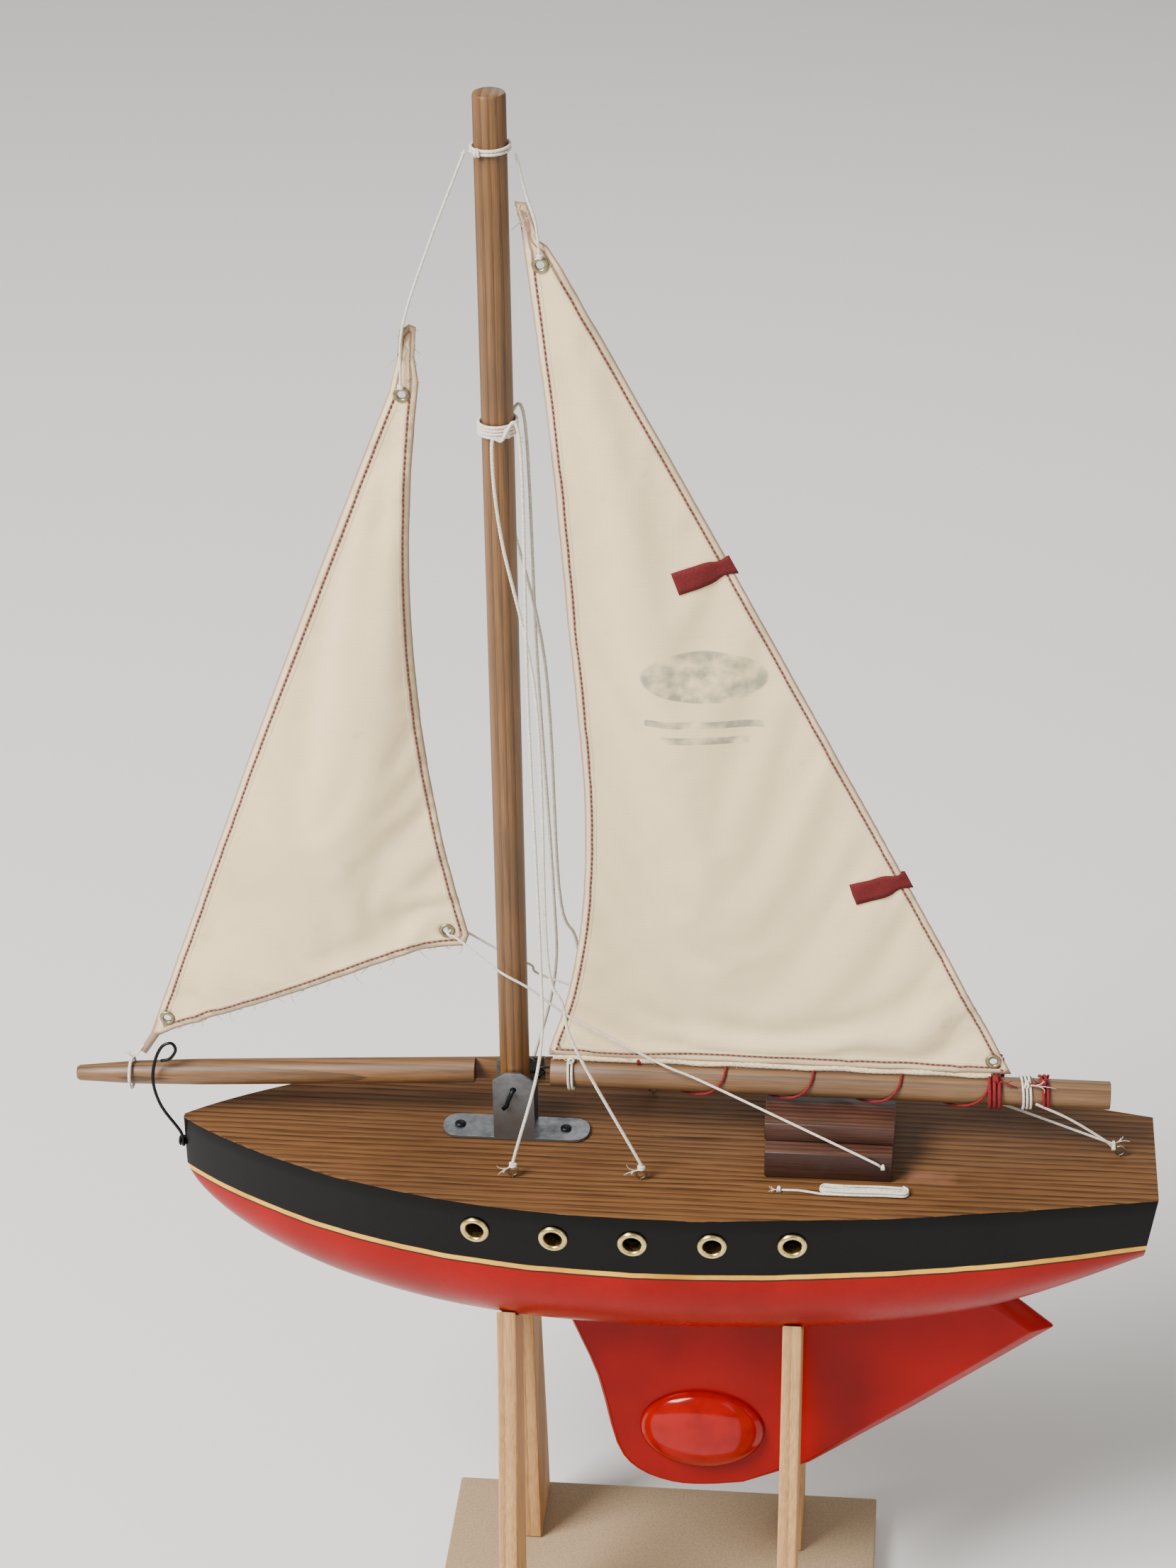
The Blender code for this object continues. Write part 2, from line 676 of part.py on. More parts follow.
def build_bracket():
    """Zinc sheet: a nailed-down strip with a tab folded up on each side of the mast."""
    strip = plate("mast_bracket", round_ended(BRACKET_LENGTH, 2 * TAB_OUTER_Y), SHEET_METAL, ZINC,
                  holes=[(MAST_X + x, 0) for x in BRACKET_NAILS.values()], hole_radius=NAIL_SHANK + BORE_CLEAR,
                  upright=False, base=GAP)
    bpy.context.view_layer.update()
    strip = as_mesh(strip)
    strip.data.materials.append(ZINC)
    clip = 3.5
    edge = TAB_WIDTH / 2
    tab_outline = [(MAST_X - edge, GAP), (MAST_X + edge, GAP), (MAST_X + edge, TAB_HEIGHT - clip),
                   (MAST_X + edge - clip * 1.4, TAB_HEIGHT), (MAST_X - edge + clip * 1.4, TAB_HEIGHT),
                   (MAST_X - edge, TAB_HEIGHT - clip)]
    for side, word in ((-1, "port"), (1, "starboard")):
        tab = plate(f"tab_{word}", tab_outline, SHEET_METAL, None, cutter=True)
        tab.location.y += side * (TAB_OUTER_Y - SHEET_METAL / 2) * MM
        bpy.context.view_layer.update()
        cut(strip, as_mesh(tab), "UNION")
    bored(strip, "tab_pin_bore", (MAST_X, -12, PIN_Z), (MAST_X, 12, PIN_Z), PIN_RADIUS + BORE_CLEAR)
    for word, x in BRACKET_NAILS.items():
        nail(f"bracket_nail_{word}", (MAST_X + x, 0, PLATE_Z + GAP), Vector((0, 0, 1)))
        bored(hull, f"nail_hole_{word}", (MAST_X + x, 0, -NAIL_LENGTH - 1), (MAST_X + x, 0, 2),
              NAIL_SHANK + BORE_CLEAR)


def nail(name, seat, out):
    """A nail whose head sits on a seat and whose shank runs back into the wood."""
    profile = [(0, 0.9), (NAIL_HEAD * 0.7, 0.8), (NAIL_HEAD, 0.35), (NAIL_HEAD, 0), (NAIL_SHANK, 0),
               (NAIL_SHANK, -NAIL_LENGTH + 1), (0, -NAIL_LENGTH)]
    return turned(name, profile, STEEL, at(*seat), out, steps=12)


def build_bowsprit():
    """A dowel with a tapered nose, halved at its heel to lie along the bracket's far tab."""
    lap_y = TAB_OUTER_Y + GAP
    heel = Vector((BOWSPRIT_HEEL_X, lap_y, BOWSPRIT_HEEL_Z))
    tip = Vector(BOWSPRIT_TIP)
    length = (tip - heel).length
    profile = [(0, length), (BOWSPRIT_TIP_RADIUS * 0.8, length), (BOWSPRIT_TIP_RADIUS, length - 0.8),
               (BOWSPRIT_RADIUS - 0.5, length - BOWSPRIT_TAPER), (BOWSPRIT_RADIUS, length - 45),
               (BOWSPRIT_RADIUS, 0), (0, 0)]
    spar = turned("bowsprit", profile, SPAR_WOOD, at(*heel), tip - heel, steps=20)
    lap = box("heel_lap", (LAP_START_X, -30, -5), (BOWSPRIT_HEEL_X + 10, lap_y, 60), cutter=True)
    cut(spar, lap)
    bored(spar, "heel_pin_bore", (MAST_X, 0, PIN_Z), (MAST_X, 20, PIN_Z), PIN_RADIUS + BORE_CLEAR)


def build_bracket_pin():
    """Bent wire through the tabs, the mast and the bowsprit's heel."""
    far = TAB_OUTER_Y + BOWSPRIT_RADIUS + 2.5
    near = -TAB_OUTER_Y - 1.2
    route = [(MAST_X, far, PIN_Z), (MAST_X, 0, PIN_Z), (MAST_X, near + 0.6, PIN_Z),
             (MAST_X - 0.4, near, PIN_Z - 0.6), (MAST_X - 1.8, near - 0.2, PIN_Z - 4),
             (MAST_X - 2.2, near - 0.2, PIN_Z - 6), (MAST_X - 3.6, near - 0.2, PIN_Z - 7.4)]
    tube("bracket_pin", route, PIN_RADIUS, STEEL)


def stem_seat():
    return (-HALF - GAP, 0, -11.3)


def build_stem_wire():
    """A wire stay from a nail in the stem, up past the bowsprit to an eye."""
    seat = stem_seat()
    nail("stem_nail", (seat[0] - 2 * WIRE - GAP, 0, seat[2]), Vector((-1, 0, 0)))
    bored(hull, "stem_nail_hole", (-HALF - 5, 0, seat[2]), (-HALF + NAIL_LENGTH + 1, 0, seat[2]),
          NAIL_SHANK + BORE_CLEAR)
    loop = NAIL_SHANK + WIRE + GAP
    x = seat[0] - WIRE
    collar = [(x, loop * math.sin(math.radians(a)), seat[2] - loop * math.cos(math.radians(a)))
              for a in range(-150, 121, 30)]
    spar_z = BOWSPRIT_TIP[2] + 1
    side = BOWSPRIT_RADIUS + 1.2
    stay = catmull(
        [collar[0], (x - 1.0, -1.8, seat[2] + 6), (x - 5.8, -side, 7.5), (x - 8.1, -side, spar_z),
         (x - 7.3, -side + 1.5, spar_z + 8), (x - 4.6, -side + 2.5, spar_z + 14), (x - 1.1, -side + 3, spar_z + 15.5),
         (x + 0.3, -side + 3.2, spar_z + 12.5), (x - 2.1, -side + 3.4, spar_z + 8.5),
         (x - 5.4, -side + 3.2, spar_z + 7.6)],
        4,
    )
    tube("stem_wire", [*reversed(collar[1:]), *stay], WIRE, STEEL)


build_mast()
build_bracket()
build_bowsprit()
build_bracket_pin()
build_stem_wire()


# Boom and its swinging joint

BOOM_AXIS = (GOOSENECK_X, 0, BOOM_Z)


def build_boom():
    end = BOOM_FORE_X + BOOM_LENGTH
    profile = [(0, end), (BOOM_RADIUS - 0.3, end), (BOOM_RADIUS, end - 0.4), (BOOM_RADIUS, BOOM_FORE_X + 0.8),
               (BOOM_RADIUS - 0.8, BOOM_FORE_X), (0, BOOM_FORE_X)]
    boom = turned("boom", profile, SPAR_WOOD, at(0, 0, BOOM_Z), Vector((1, 0, 0)), steps=20)
    inner = BOOM_FORE_X + 9
    bored(boom, "gooseneck_bore", (BOOM_FORE_X - 1, 0, BOOM_Z + 1.8), (inner, 0, BOOM_Z + 1.8), WIRE + BORE_CLEAR)
    hook = catmull(
        [(inner - 1, 0, BOOM_Z + 1.8), (BOOM_FORE_X - 1, 0, BOOM_Z + 1.8), (GOOSENECK_X + 1.0, 0, BOOM_Z + 1.7),
         (GOOSENECK_X, 0, BOOM_Z + 0.8), (GOOSENECK_X, 0, BOOM_Z - 3)],
        4,
    )
    pivot(tube("gooseneck_hook", hook, WIRE * 0.8, STEEL), BOOM_AXIS)
    pivot(boom, BOOM_AXIS)
    ring = [(GOOSENECK_X + GOOSENECK_RING * math.cos(math.radians(a)),
             GOOSENECK_RING * math.sin(math.radians(a)), BOOM_Z - 0.4) for a in range(180, -151, -30)]
    shank = [(MAST_X + MAST_RADIUS - 5, 0, BOOM_Z - 0.4), (MAST_X + MAST_RADIUS - 2, 0, BOOM_Z - 0.4)]
    tube("gooseneck_eye", [*shank, *ring], WIRE * 0.8, STEEL)
    bored(bpy.data.objects["mast"], "gooseneck_eye_bore", (MAST_X, 0, BOOM_Z - 0.4),
          (MAST_X + MAST_RADIUS + 3, 0, BOOM_Z - 0.4), WIRE * 0.8 + BORE_CLEAR)


build_boom()


# Sails

def bowed(start, end, sag, steps=8):
    """Points from start to just short of end, bowed to the left of the way by sag."""
    start, end = Vector((*start, 0)), Vector((*end, 0))
    way = end - start
    left = Vector((-way.y, way.x, 0)).normalized()
    found = []
    for i in range(steps):
        t = i / steps
        point = start + way * t + left * sag * 4 * t * (1 - t)
        found.append((point.x, point.y))
    return found


def edge_through(points, pieces=3):
    """A smooth edge through the given points of the sail's plane."""
    return [(p.x, p.y) for p in catmull([(*point, 0) for point in points], pieces)]


def sail(name, outline, grommets):
    """Cloth cut to its outline, with a hole for each grommet."""
    cloth = plate(name, outline, SAIL_THICK, None, holes=grommets.values(), hole_radius=GROMMET_BARREL + GAP)
    bpy.context.view_layer.update()
    cloth = as_mesh(cloth)
    cloth.data.materials.append(COTTON)
    return cloth


def jib_outline():
    """Gathered head, luff, twisted tail at the tack, foot and hollow leech."""
    luff = bowed(JIB_HEAD, JIB_TAIL[0], -JIB_LUFF_ROUND)
    leech = bowed(JIB_CLEW, JIB_TONGUE[0], JIB_LEECH_HOLLOW)
    return [*JIB_TONGUE, *luff, *JIB_TAIL, *edge_through(JIB_FOOT, 2), *leech]


def main_outline():
    """Gathered head, hollow luff, straight foot over the boom and full leech."""
    tongue, front = ([(LUFF_X + x, z) for x, z in points] for points in (MAIN_TONGUE, MAIN_LUFF))
    luff = edge_through([*front, (MAIN_TACK[0], MAIN_TACK[1] + 2)])
    leech = bowed(MAIN_CLEW, MAIN_LEECH_TOP, -MAIN_LEECH_ROUND)
    return [*tongue, *luff, *bowed(MAIN_TACK, MAIN_CLEW, 0, steps=3), *leech, MAIN_LEECH_TOP]


def grommet(name, place):
    """A brass eyelet closed over both faces of the cloth."""
    face = SAIL_THICK / 2 + GAP
    out = face + 0.4
    profile = [(GROMMET_INNER, out), (GROMMET_OUTER, out), (GROMMET_OUTER, face), (GROMMET_BARREL, face),
               (GROMMET_BARREL, -face), (GROMMET_OUTER, -face), (GROMMET_OUTER, -out), (GROMMET_INNER, -out)]
    return turned(name, profile, BRASS, at(place[0], 0, place[1]), Vector((0, -1, 0)), steps=14)


sail("mainsail", main_outline(), MAIN_GROMMETS)
sail("jib", jib_outline(), JIB_GROMMETS)
JIB_AXIS = (-192.5, 0, BOWSPRIT_TIP[2] + BOWSPRIT_RADIUS)
for word, spot in MAIN_GROMMETS.items():
    pivot(grommet(f"main_grommet_{word}", spot), BOOM_AXIS)
for word, spot in JIB_GROMMETS.items():
    pivot(grommet(f"jib_grommet_{word}", spot), JIB_AXIS)


def build_ribbons():
    """Red tapes folded over the mainsail's leech."""
    way = Vector((MAIN_LEECH_TOP[0] - MAIN_CLEW[0], MAIN_LEECH_TOP[1] - MAIN_CLEW[1]))
    out = Vector((way.y, -way.x)).normalized()
    inner = SAIL_THICK / 2 + GAP
    wide = inner + RIBBON_THICK
    fold = 1.4
    for word, z in RIBBONS.items():
        x = MAIN_CLEW[0] + way.x * (z - MAIN_CLEW[1]) / way.y
        end = Vector((x, z)) + out * (MAIN_LEECH_ROUND + fold + 3 * GAP)
        middle = end - Vector((math.cos(RIBBON_TILT), math.sin(RIBBON_TILT))) * RIBBON_LENGTH / 2
        place = Matrix.Translation(at(middle.x, 0, middle.y)) @ Matrix.Rotation(-RIBBON_TILT, 4, "Y")
        half = RIBBON_LENGTH / 2
        for name, start, stop, y, z_half, cutter in (
            (f"ribbon_{word}", -half, half, wide, RIBBON_WIDTH / 2, False),
            (f"ribbon_slot_{word}", -half - 5, half - fold, inner, RIBBON_WIDTH, True),
        ):
            shape = bmesh.new()
            bmesh.ops.create_cube(shape, size=1.0)
            bmesh.ops.scale(shape, vec=Vector((stop - start, 2 * y, 2 * z_half)) * MM, verts=shape.verts)
            bmesh.ops.translate(shape, vec=Vector(((start + stop) / 2, 0, 0)) * MM, verts=shape.verts)
            piece = from_bmesh(name, shape, None if cutter else RED_THREAD, cutter)
            piece.matrix_world = place
        cut(bpy.data.objects[f"ribbon_{word}"], piece)


build_ribbons()


# Lashings, shrouds, halyards and sheets

def build_bands():
    for name, z, height, thick in (
        ("masthead_lashing", MASTHEAD_LASHING_Z, MASTHEAD_LASHING_HEIGHT, MASTHEAD_LASHING_THICK),
        ("shroud_band", SHROUD_BAND_Z, SHROUD_BAND_HEIGHT, SHROUD_BAND_THICK),
    ):
        inner = MAST_RADIUS + GAP
        outer = inner + thick
        edge = height / 2
        profile = [(inner, edge), (outer - 0.3, edge), (outer, edge - 0.4), (outer, 0.4 - edge),
                   (outer - 0.3, -edge), (inner, -edge)]
        turned(name, profile, CORD, at(MAST_X, 0, z), steps=20)


def deck_eye(name, x, y):
    """A wire eye with its shank bored into the deck."""
    lift = GAP + EYE_WIRE
    centre = lift + EYE_RADIUS
    loop = [(x + EYE_RADIUS * math.sin(math.radians(a)), y, centre - EYE_RADIUS * math.cos(math.radians(a)))
            for a in range(0, 331, 30)]
    tube(name, [(x, y, -EYE_SHANK), (x, y, -1), *loop], EYE_WIRE, BRASS)
    bored(hull, f"{name}_bore", (x, y, -EYE_SHANK - 1), (x, y, 2), EYE_WIRE + BORE_CLEAR)


def build_shrouds():
    """One cord a side: up from the fore eye to the band and down again to the aft eye."""
    for side, word in ((-1, "port"), (1, "starboard")):
        fore_x, fore_y = SHROUD_FORE_EYE
        aft_x, aft_y = SHROUD_AFT_EYE
        deck_eye(f"shroud_eye_{word}_fore", fore_x, side * fore_y)
        deck_eye(f"shroud_eye_{word}_aft", aft_x, side * aft_y)
        over = EYE_RADIUS * 2 + 4 * EYE_WIRE + STRING + GAP
        band_y = MAST_RADIUS + GAP + SHROUD_BAND_THICK + STRING + GAP
        top = SHROUD_BAND_Z - SHROUD_BAND_HEIGHT / 2
        drop = top - over
        spread = fore_y - band_y
        fore = [(0.0, fore_x), (0.16, fore_x + 10.0), (0.31, fore_x + 10.6), (0.66, MAST_X + 9.5)]
        aft = [(0.66, MAST_X + 12.2), (0.31, MAST_X + 14.8), (0.235, MAST_X + 20.0), (0.17, MAST_X + 24.5),
               (0.0, aft_x)]
        up = [(x, side * (fore_y - spread * s), over + drop * s) for s, x in fore]
        down = [(x, side * (aft_y + 0.0 - (aft_y - band_y) * s), over + drop * s) for s, x in aft]
        turn = [(MAST_X + 8.0, side * band_y, top), (MAST_X + 2.0, side * (band_y + 0.4), top + 0.6),
                (MAST_X - 1.0, side * (band_y + 1.0), top - 1.5)]
        back = [(MAST_X + 1.5, side * (band_y + 3.2), over + drop * 0.88)]
        tube(f"shroud_{word}", catmull([*up, *turn, *back, *down], 3), STRING, CORD)


def build_halyards():
    ring = MAST_RADIUS + MASTHEAD_LASHING_THICK + 3 * GAP + STRING
    low = MASTHEAD_LASHING_Z - 1
    clear = GROMMET_OUTER + GAP + STRING
    x, z = JIB_GROMMETS["head"]
    tube("jib_halyard", catmull([(MAST_X - ring, 0, low), (MAST_X - ring - 13, 0, low - 33),
                                 (x + 1.4, -1.5, z + 24), (x, -1.9, z + clear)], 4), STRING * 0.8, CORD)
    x, z = MAIN_GROMMETS["head"]
    tube("main_halyard", catmull([(MAST_X + ring, 0, low - 1), (MAST_X + ring + 3, -0.6, low - 14),
                                  (x - 1.2, -1.9, z + 15), (x, -1.9, z + clear)], 4), STRING * 0.8, CORD)
    spar_z = BOWSPRIT_TIP[2] + 0.6
    tie = BOWSPRIT_RADIUS + STRING + GAP
    loop = [(-193.0, 0.8 + tie * math.sin(math.radians(a)), spar_z + tie * math.cos(math.radians(a)))
            for a in range(0, 360, 30)]
    tube("jib_tack_tie", loop, STRING, CORD, closed=True)


def build_sheets():
    """The jib's sheet runs from the cabin through the clew's grommet and back aft to the stern eye."""
    x, z = JIB_GROMMETS["clew"]
    side = TAB_OUTER_Y
    step_y = CABIN_LOWER[1] / 2 + GAP + STRING
    clear = SAIL_THICK / 2 + 2 * GAP + 0.4 + STRING
    port = [(78.7, -step_y, 7.0), (70.0, -step_y + 0.6, 11.5), (16.3, -7.5, 28.5), (3.5, -6.5, 33.6),
            (-5.0, -3.6, 36.0), (-31.2, -3.4, 50.6), (-46.5, -side, 65.3), (-57.3, -side, 72.2)]
    clew = [(x + 4.5, -clear - 1.2, z - 1.2), (x + 1.4, -clear - 0.4, z - 0.3), (x, 0, z),
            (x + 1.4, clear + 0.4, z + 0.2), (x + 4.5, clear + 1.2, z - 0.8)]
    stern = [(-58.8, side, 72.1), (-47.9, side, 66.6), (-34.6, 5.0, 60.3), (60.0, 7.0, 33.0),
             (111.4, 6.8, 18.6), (STERN_EYE_X - 2.4, 1.2, 4.4)]
    tube("jib_sheet", catmull([*port, *clew, *stern], 4), STRING * 0.8, CORD)
    deck_eye("stern_eye", STERN_EYE_X, 0)
    tube("main_sheet", [(STERN_EYE_X - 2.4, -1.2, 4.4), (156.0, -2.2, 8.6), (143.5, -4.6, 18.4),
                        (131.5, -BOOM_RADIUS - 1.6, BOOM_Z - 0.5)], STRING * 0.8, CORD)


def build_boom_cords():
    """Red thread wound round the boom below the sail's foot, and a wrap at each of its corners."""
    ring = BOOM_RADIUS + GAP + LACING_WIRE
    steps = 12
    # On the near side the thread slants a little aft; it makes up its way on the far side.
    route = []
    for i in range(LACING_TURNS * steps + 1):
        turn = 2 * math.pi * i / steps
        x = LACING_START_X + LACING_PITCH * i / steps - 0.16 * LACING_PITCH * math.sin(turn)
        route.append((x, ring * math.sin(turn), BOOM_Z + ring * math.cos(turn)))
    pivot(tube("foot_lacing", route, LACING_WIRE, RED_THREAD), BOOM_AXIS)
    for name, x, wire, wraps, finish in (
        ("clew_lashing", CLEW_LASHING_X, CLEW_LASHING_WIRE, 3, RED_THREAD),
        ("tack_lashing", TACK_LASHING_X, STRING * 0.8, 2, CORD),
    ):
        ring = BOOM_RADIUS + GAP + wire
        pitch = 2 * wire + GAP
        route = [(x + pitch * i / steps, ring * math.sin(2 * math.pi * i / steps),
                  BOOM_Z + ring * math.cos(2 * math.pi * i / steps)) for i in range(wraps * steps)]
        pivot(tube(name, route, wire, finish), BOOM_AXIS)


def build_hank():
    """The spare end of the sheet, folded into a hank on the side deck."""
    x, y = HANK_START
    z = GAP + HANK_CORD
    lead = catmull([(x, y, z), (x + HANK_LEAD * 0.5, y + 0.2, z + 0.3), (x + HANK_LEAD, y + 0.6, z)], 4)
    tube("deck_hank_lead", lead, HANK_CORD, CORD)
    radius = HANK_WIDTH / 2
    start = x + HANK_LEAD + GAP + HANK_CORD
    outline = []
    for centre, first in ((start + HANK_LENGTH - radius, -90), (start + radius, 90)):
        for i in range(9):
            turn = math.radians(first + 180 * i / 8)
            outline.append((centre + radius * math.cos(turn), y + 1.4 + radius * math.sin(turn)))
    plate("deck_hank", outline, HANK_HEIGHT, CORD, upright=False, base=GAP)


build_bands()
build_shrouds()
build_halyards()
build_sheets()
build_boom_cords()
build_hank()

for name in ("mainsail", "ribbon_upper", "ribbon_lower", "main_halyard"):
    pivot(bpy.data.objects[name], BOOM_AXIS)
for name in ("jib", "jib_halyard"):
    pivot(bpy.data.objects[name], JIB_AXIS)
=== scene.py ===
# %% [markdown]
# # A wooden pond yacht
# The boat is a block of pine, carved and enamelled, with cotton sails on dowel spars. Its frame, the exact
# parts with their joints, is loaded first and never moved. Everything after it gives the parts their cloth,
# cord, paint and wear.

import math

import bmesh
import bpy
from mathutils import Matrix, Vector, noise
from mathutils.bvhtree import BVHTree
from mathutils.geometry import barycentric_transform, delaunay_2d_cdt


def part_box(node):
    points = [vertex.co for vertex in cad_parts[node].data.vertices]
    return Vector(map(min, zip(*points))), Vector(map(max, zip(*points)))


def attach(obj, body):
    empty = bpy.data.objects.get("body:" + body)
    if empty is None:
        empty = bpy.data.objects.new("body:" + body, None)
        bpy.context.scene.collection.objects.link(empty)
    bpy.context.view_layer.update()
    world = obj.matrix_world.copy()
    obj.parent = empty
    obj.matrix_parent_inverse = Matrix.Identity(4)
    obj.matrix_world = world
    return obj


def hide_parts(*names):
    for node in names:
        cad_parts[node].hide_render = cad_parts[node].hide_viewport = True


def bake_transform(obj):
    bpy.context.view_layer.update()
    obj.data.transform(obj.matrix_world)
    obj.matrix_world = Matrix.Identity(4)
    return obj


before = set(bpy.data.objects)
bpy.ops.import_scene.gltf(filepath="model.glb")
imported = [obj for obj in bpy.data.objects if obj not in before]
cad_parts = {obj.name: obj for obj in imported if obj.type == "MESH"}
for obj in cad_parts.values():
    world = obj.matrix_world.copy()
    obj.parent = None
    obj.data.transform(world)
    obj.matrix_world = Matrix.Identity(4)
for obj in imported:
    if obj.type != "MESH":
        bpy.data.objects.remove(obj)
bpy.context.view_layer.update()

# %% [markdown]
# A boat builder measures from the deck, so this script does too: millimetres along the hull from its middle,
# across from its centreline, and up from the deck. The frame says where that deck is.

# %% The deck's own measures
MM = 0.001
hull_low, hull_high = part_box("hull")
DECK_Z = hull_high.z
MIDDLE_X = hull_low.x + 0.175
HALF = 175.0


def deck(x, y, z):
    """A point of the deck's measures, in the frame's metres."""
    return Vector((MIDDLE_X + x * MM, y * MM, DECK_Z + z * MM))


print("deck at", round(DECK_Z, 4), "middle at", round(MIDDLE_X, 4))

# %% [markdown]
# The camera stands in front of the port side, a little aft of the middle, and looks down on the deck by
# thirty degrees. It leans by under a degree, as a hand-held one does.

# %% Camera
CAMERA_AT = (80.8, -1055.8, 754.1)
CAMERA_DOWN, CAMERA_LEFT, CAMERA_LEAN = (math.radians(a) for a in (29.86, 5.763, 0.806))
LENS = 82.62


def place_camera():
    data = bpy.data.cameras.new("camera")
    data.sensor_fit = "VERTICAL"
    data.sensor_height = 36
    data.lens = LENS
    data.clip_start = 0.01
    camera = bpy.data.objects.new("camera", data)
    bpy.context.scene.collection.objects.link(camera)
    turn = (
        Matrix.Rotation(CAMERA_LEFT, 4, "Z")
        @ Matrix.Rotation(math.pi / 2 - CAMERA_DOWN, 4, "X")
        @ Matrix.Rotation(-CAMERA_LEAN, 4, "Z")
    )
    camera.matrix_world = Matrix.Translation(deck(*CAMERA_AT)) @ turn
    bpy.context.scene.camera = camera
    print("camera at", [round(c, 3) for c in camera.location])


place_camera()

# %% [markdown]
# Materials are built from nodes. One helper adds a node, sets what it is told, and wires its inputs. Colours
# are written as paint chips are, in sRGB hex, and turned to the linear values that light uses.

# %% Node and colour helpers
MATH, BLEND, RANGE = "ShaderNodeMath", "ShaderNodeMix", "ShaderNodeMapRange"
NOISE, WAVE, RAMP = "ShaderNodeTexNoise", "ShaderNodeTexWave", "ShaderNodeValToRGB"
COORDINATES, MAPPING, BUMP = "ShaderNodeTexCoord", "ShaderNodeMapping", "ShaderNodeBump"
# A wave pattern of scale 1 repeats each 0.314 units, so this over a spacing gives its scale.
WAVE_SPACING = 0.314
# The inputs of a colour blend: how far it goes, what it leaves and what it comes to.
SHARE, FIRST, SECOND = 0, 6, 7


def linear(hex_colour):
    """An sRGB hex colour as linear red, green, blue and alpha."""
    parts = [int(hex_colour[i : i + 2], 16) / 255 for i in (1, 3, 5)]
    return (*(c / 12.92 if c <= 0.04045 else ((c + 0.055) / 1.055) ** 2.4 for c in parts), 1.0)


def connect(tree, node, inputs):
    """Gives each named input a value, another node's first output, or the output that is given."""
    for name, value in inputs.items():
        if isinstance(value, bpy.types.Node):
            value = next(output for output in value.outputs if output.enabled)
        if isinstance(value, bpy.types.NodeSocket):
            tree.links.new(value, node.inputs[name])
        else:
            node.inputs[name].default_value = value


def add(tree, kind, inputs=None, stops=(), **settings):
    """Adds a node with its settings and links; stops are a colour ramp's (place, hex colour) pairs."""
    node = tree.nodes.new(kind)
    for key, value in settings.items():
        setattr(node, key, value)
    connect(tree, node, inputs or {})
    while len(stops) > len(node.color_ramp.elements if stops else ()):
        node.color_ramp.elements.new(0.5)
    for number, (place, colour) in enumerate(stops):
        node.color_ramp.elements[number].position = place
        node.color_ramp.elements[number].color = linear(colour)
    return node


def start_material(name, **shader_values):
    """A new material with its Principled shader's constant values set, and the shader."""
    material = bpy.data.materials.new(name)
    material.use_nodes = True
    shader = material.node_tree.nodes["Principled BSDF"]
    for key, value in shader_values.items():
        shader.inputs[key.replace("_", " ").title().replace("Ior", "IOR")].default_value = value
    return material, shader


print("paper white is", [round(part, 3) for part in linear("#F4F1E8")])

# %% [markdown]
# ## Wood
# Pine and beech show long dark fibres on a paler ground, because late wood is denser than early wood. A noise
# pattern stretched along the grain gives the fibres, a wave bent by noise gives the growth lines, and a broad
# soft noise gives handling stains. Each piece states which way its grain runs and how wide a fibre is.

# %% Wood finish


def wood(name, pale, middle, dark, along="X", fibre_mm=0.5, line_mm=3.0, line_share=0.5, roughness=0.5,
         coat=0.0, stain=0.35):
    """Sawn or turned wood, rubbed with oil or left bare: satin, darker in its growth lines."""
    material, shader = start_material(name, roughness=roughness, coat_weight=coat, coat_roughness=0.35)
    tree = material.node_tree
    place = add(tree, COORDINATES).outputs["Object"]
    fine, slow = 1 / (fibre_mm * MM), 1 / (fibre_mm * MM * 40)
    stretch = {"X": (slow, fine, fine), "Y": (fine, slow, fine), "Z": (fine, fine, slow)}[along]
    along_grain = add(tree, MAPPING, {"Vector": place, "Scale": stretch})
    fibres = add(tree, NOISE, {"Vector": along_grain, "Scale": 1.0, "Detail": 4.0, "Roughness": 0.6})
    long_way = {"X": (0.06, 1, 0.35), "Y": (1, 0.06, 0.35), "Z": (1, 0.35, 0.06)}[along]
    growth_place = add(tree, MAPPING, {"Vector": place, "Scale": long_way})
    growth = {"Vector": growth_place, "Scale": WAVE_SPACING / (line_mm * MM), "Distortion": 3.2,
              "Detail": 2.0, "Detail Scale": 0.8}
    lines = add(tree, WAVE, growth, bands_direction="Y" if along == "X" else "X", wave_profile="SAW")
    soft = add(tree, NOISE, {"Vector": place, "Scale": 22.0, "Detail": 3.0})
    late_wood = add(tree, RANGE, {"Value": lines.outputs["Fac"], "From Min": 0.35, "From Max": 1.0})
    late_wood = add(tree, MATH, {0: late_wood, 1: line_share}, operation="MULTIPLY")
    dark_fibres = add(tree, RANGE, {"Value": fibres, "From Min": 0.35, "From Max": 0.75})
    dark_fibres = add(tree, MATH, {0: dark_fibres, 1: 0.5}, operation="MULTIPLY")
    grain = add(tree, MATH, {0: late_wood, 1: dark_fibres}, operation="ADD")
    grain_colour = add(tree, RAMP, {"Fac": grain}, [(0.0, pale), (0.45, middle), (1.0, dark)])
    stains = add(tree, RANGE, {"Value": soft, "From Min": 0.45, "From Max": 0.75})
    stains = add(tree, MATH, {0: stains, 1: stain}, operation="MULTIPLY")
    colour = add(tree, BLEND, {SHARE: stains, FIRST: grain_colour, SECOND: linear(dark)}, data_type="RGBA")
    relief = add(tree, BUMP, {"Height": grain, "Strength": 0.5, "Distance": 0.12 * MM})
    connect(tree, shader, {"Base Color": colour, "Normal": relief})
    return material


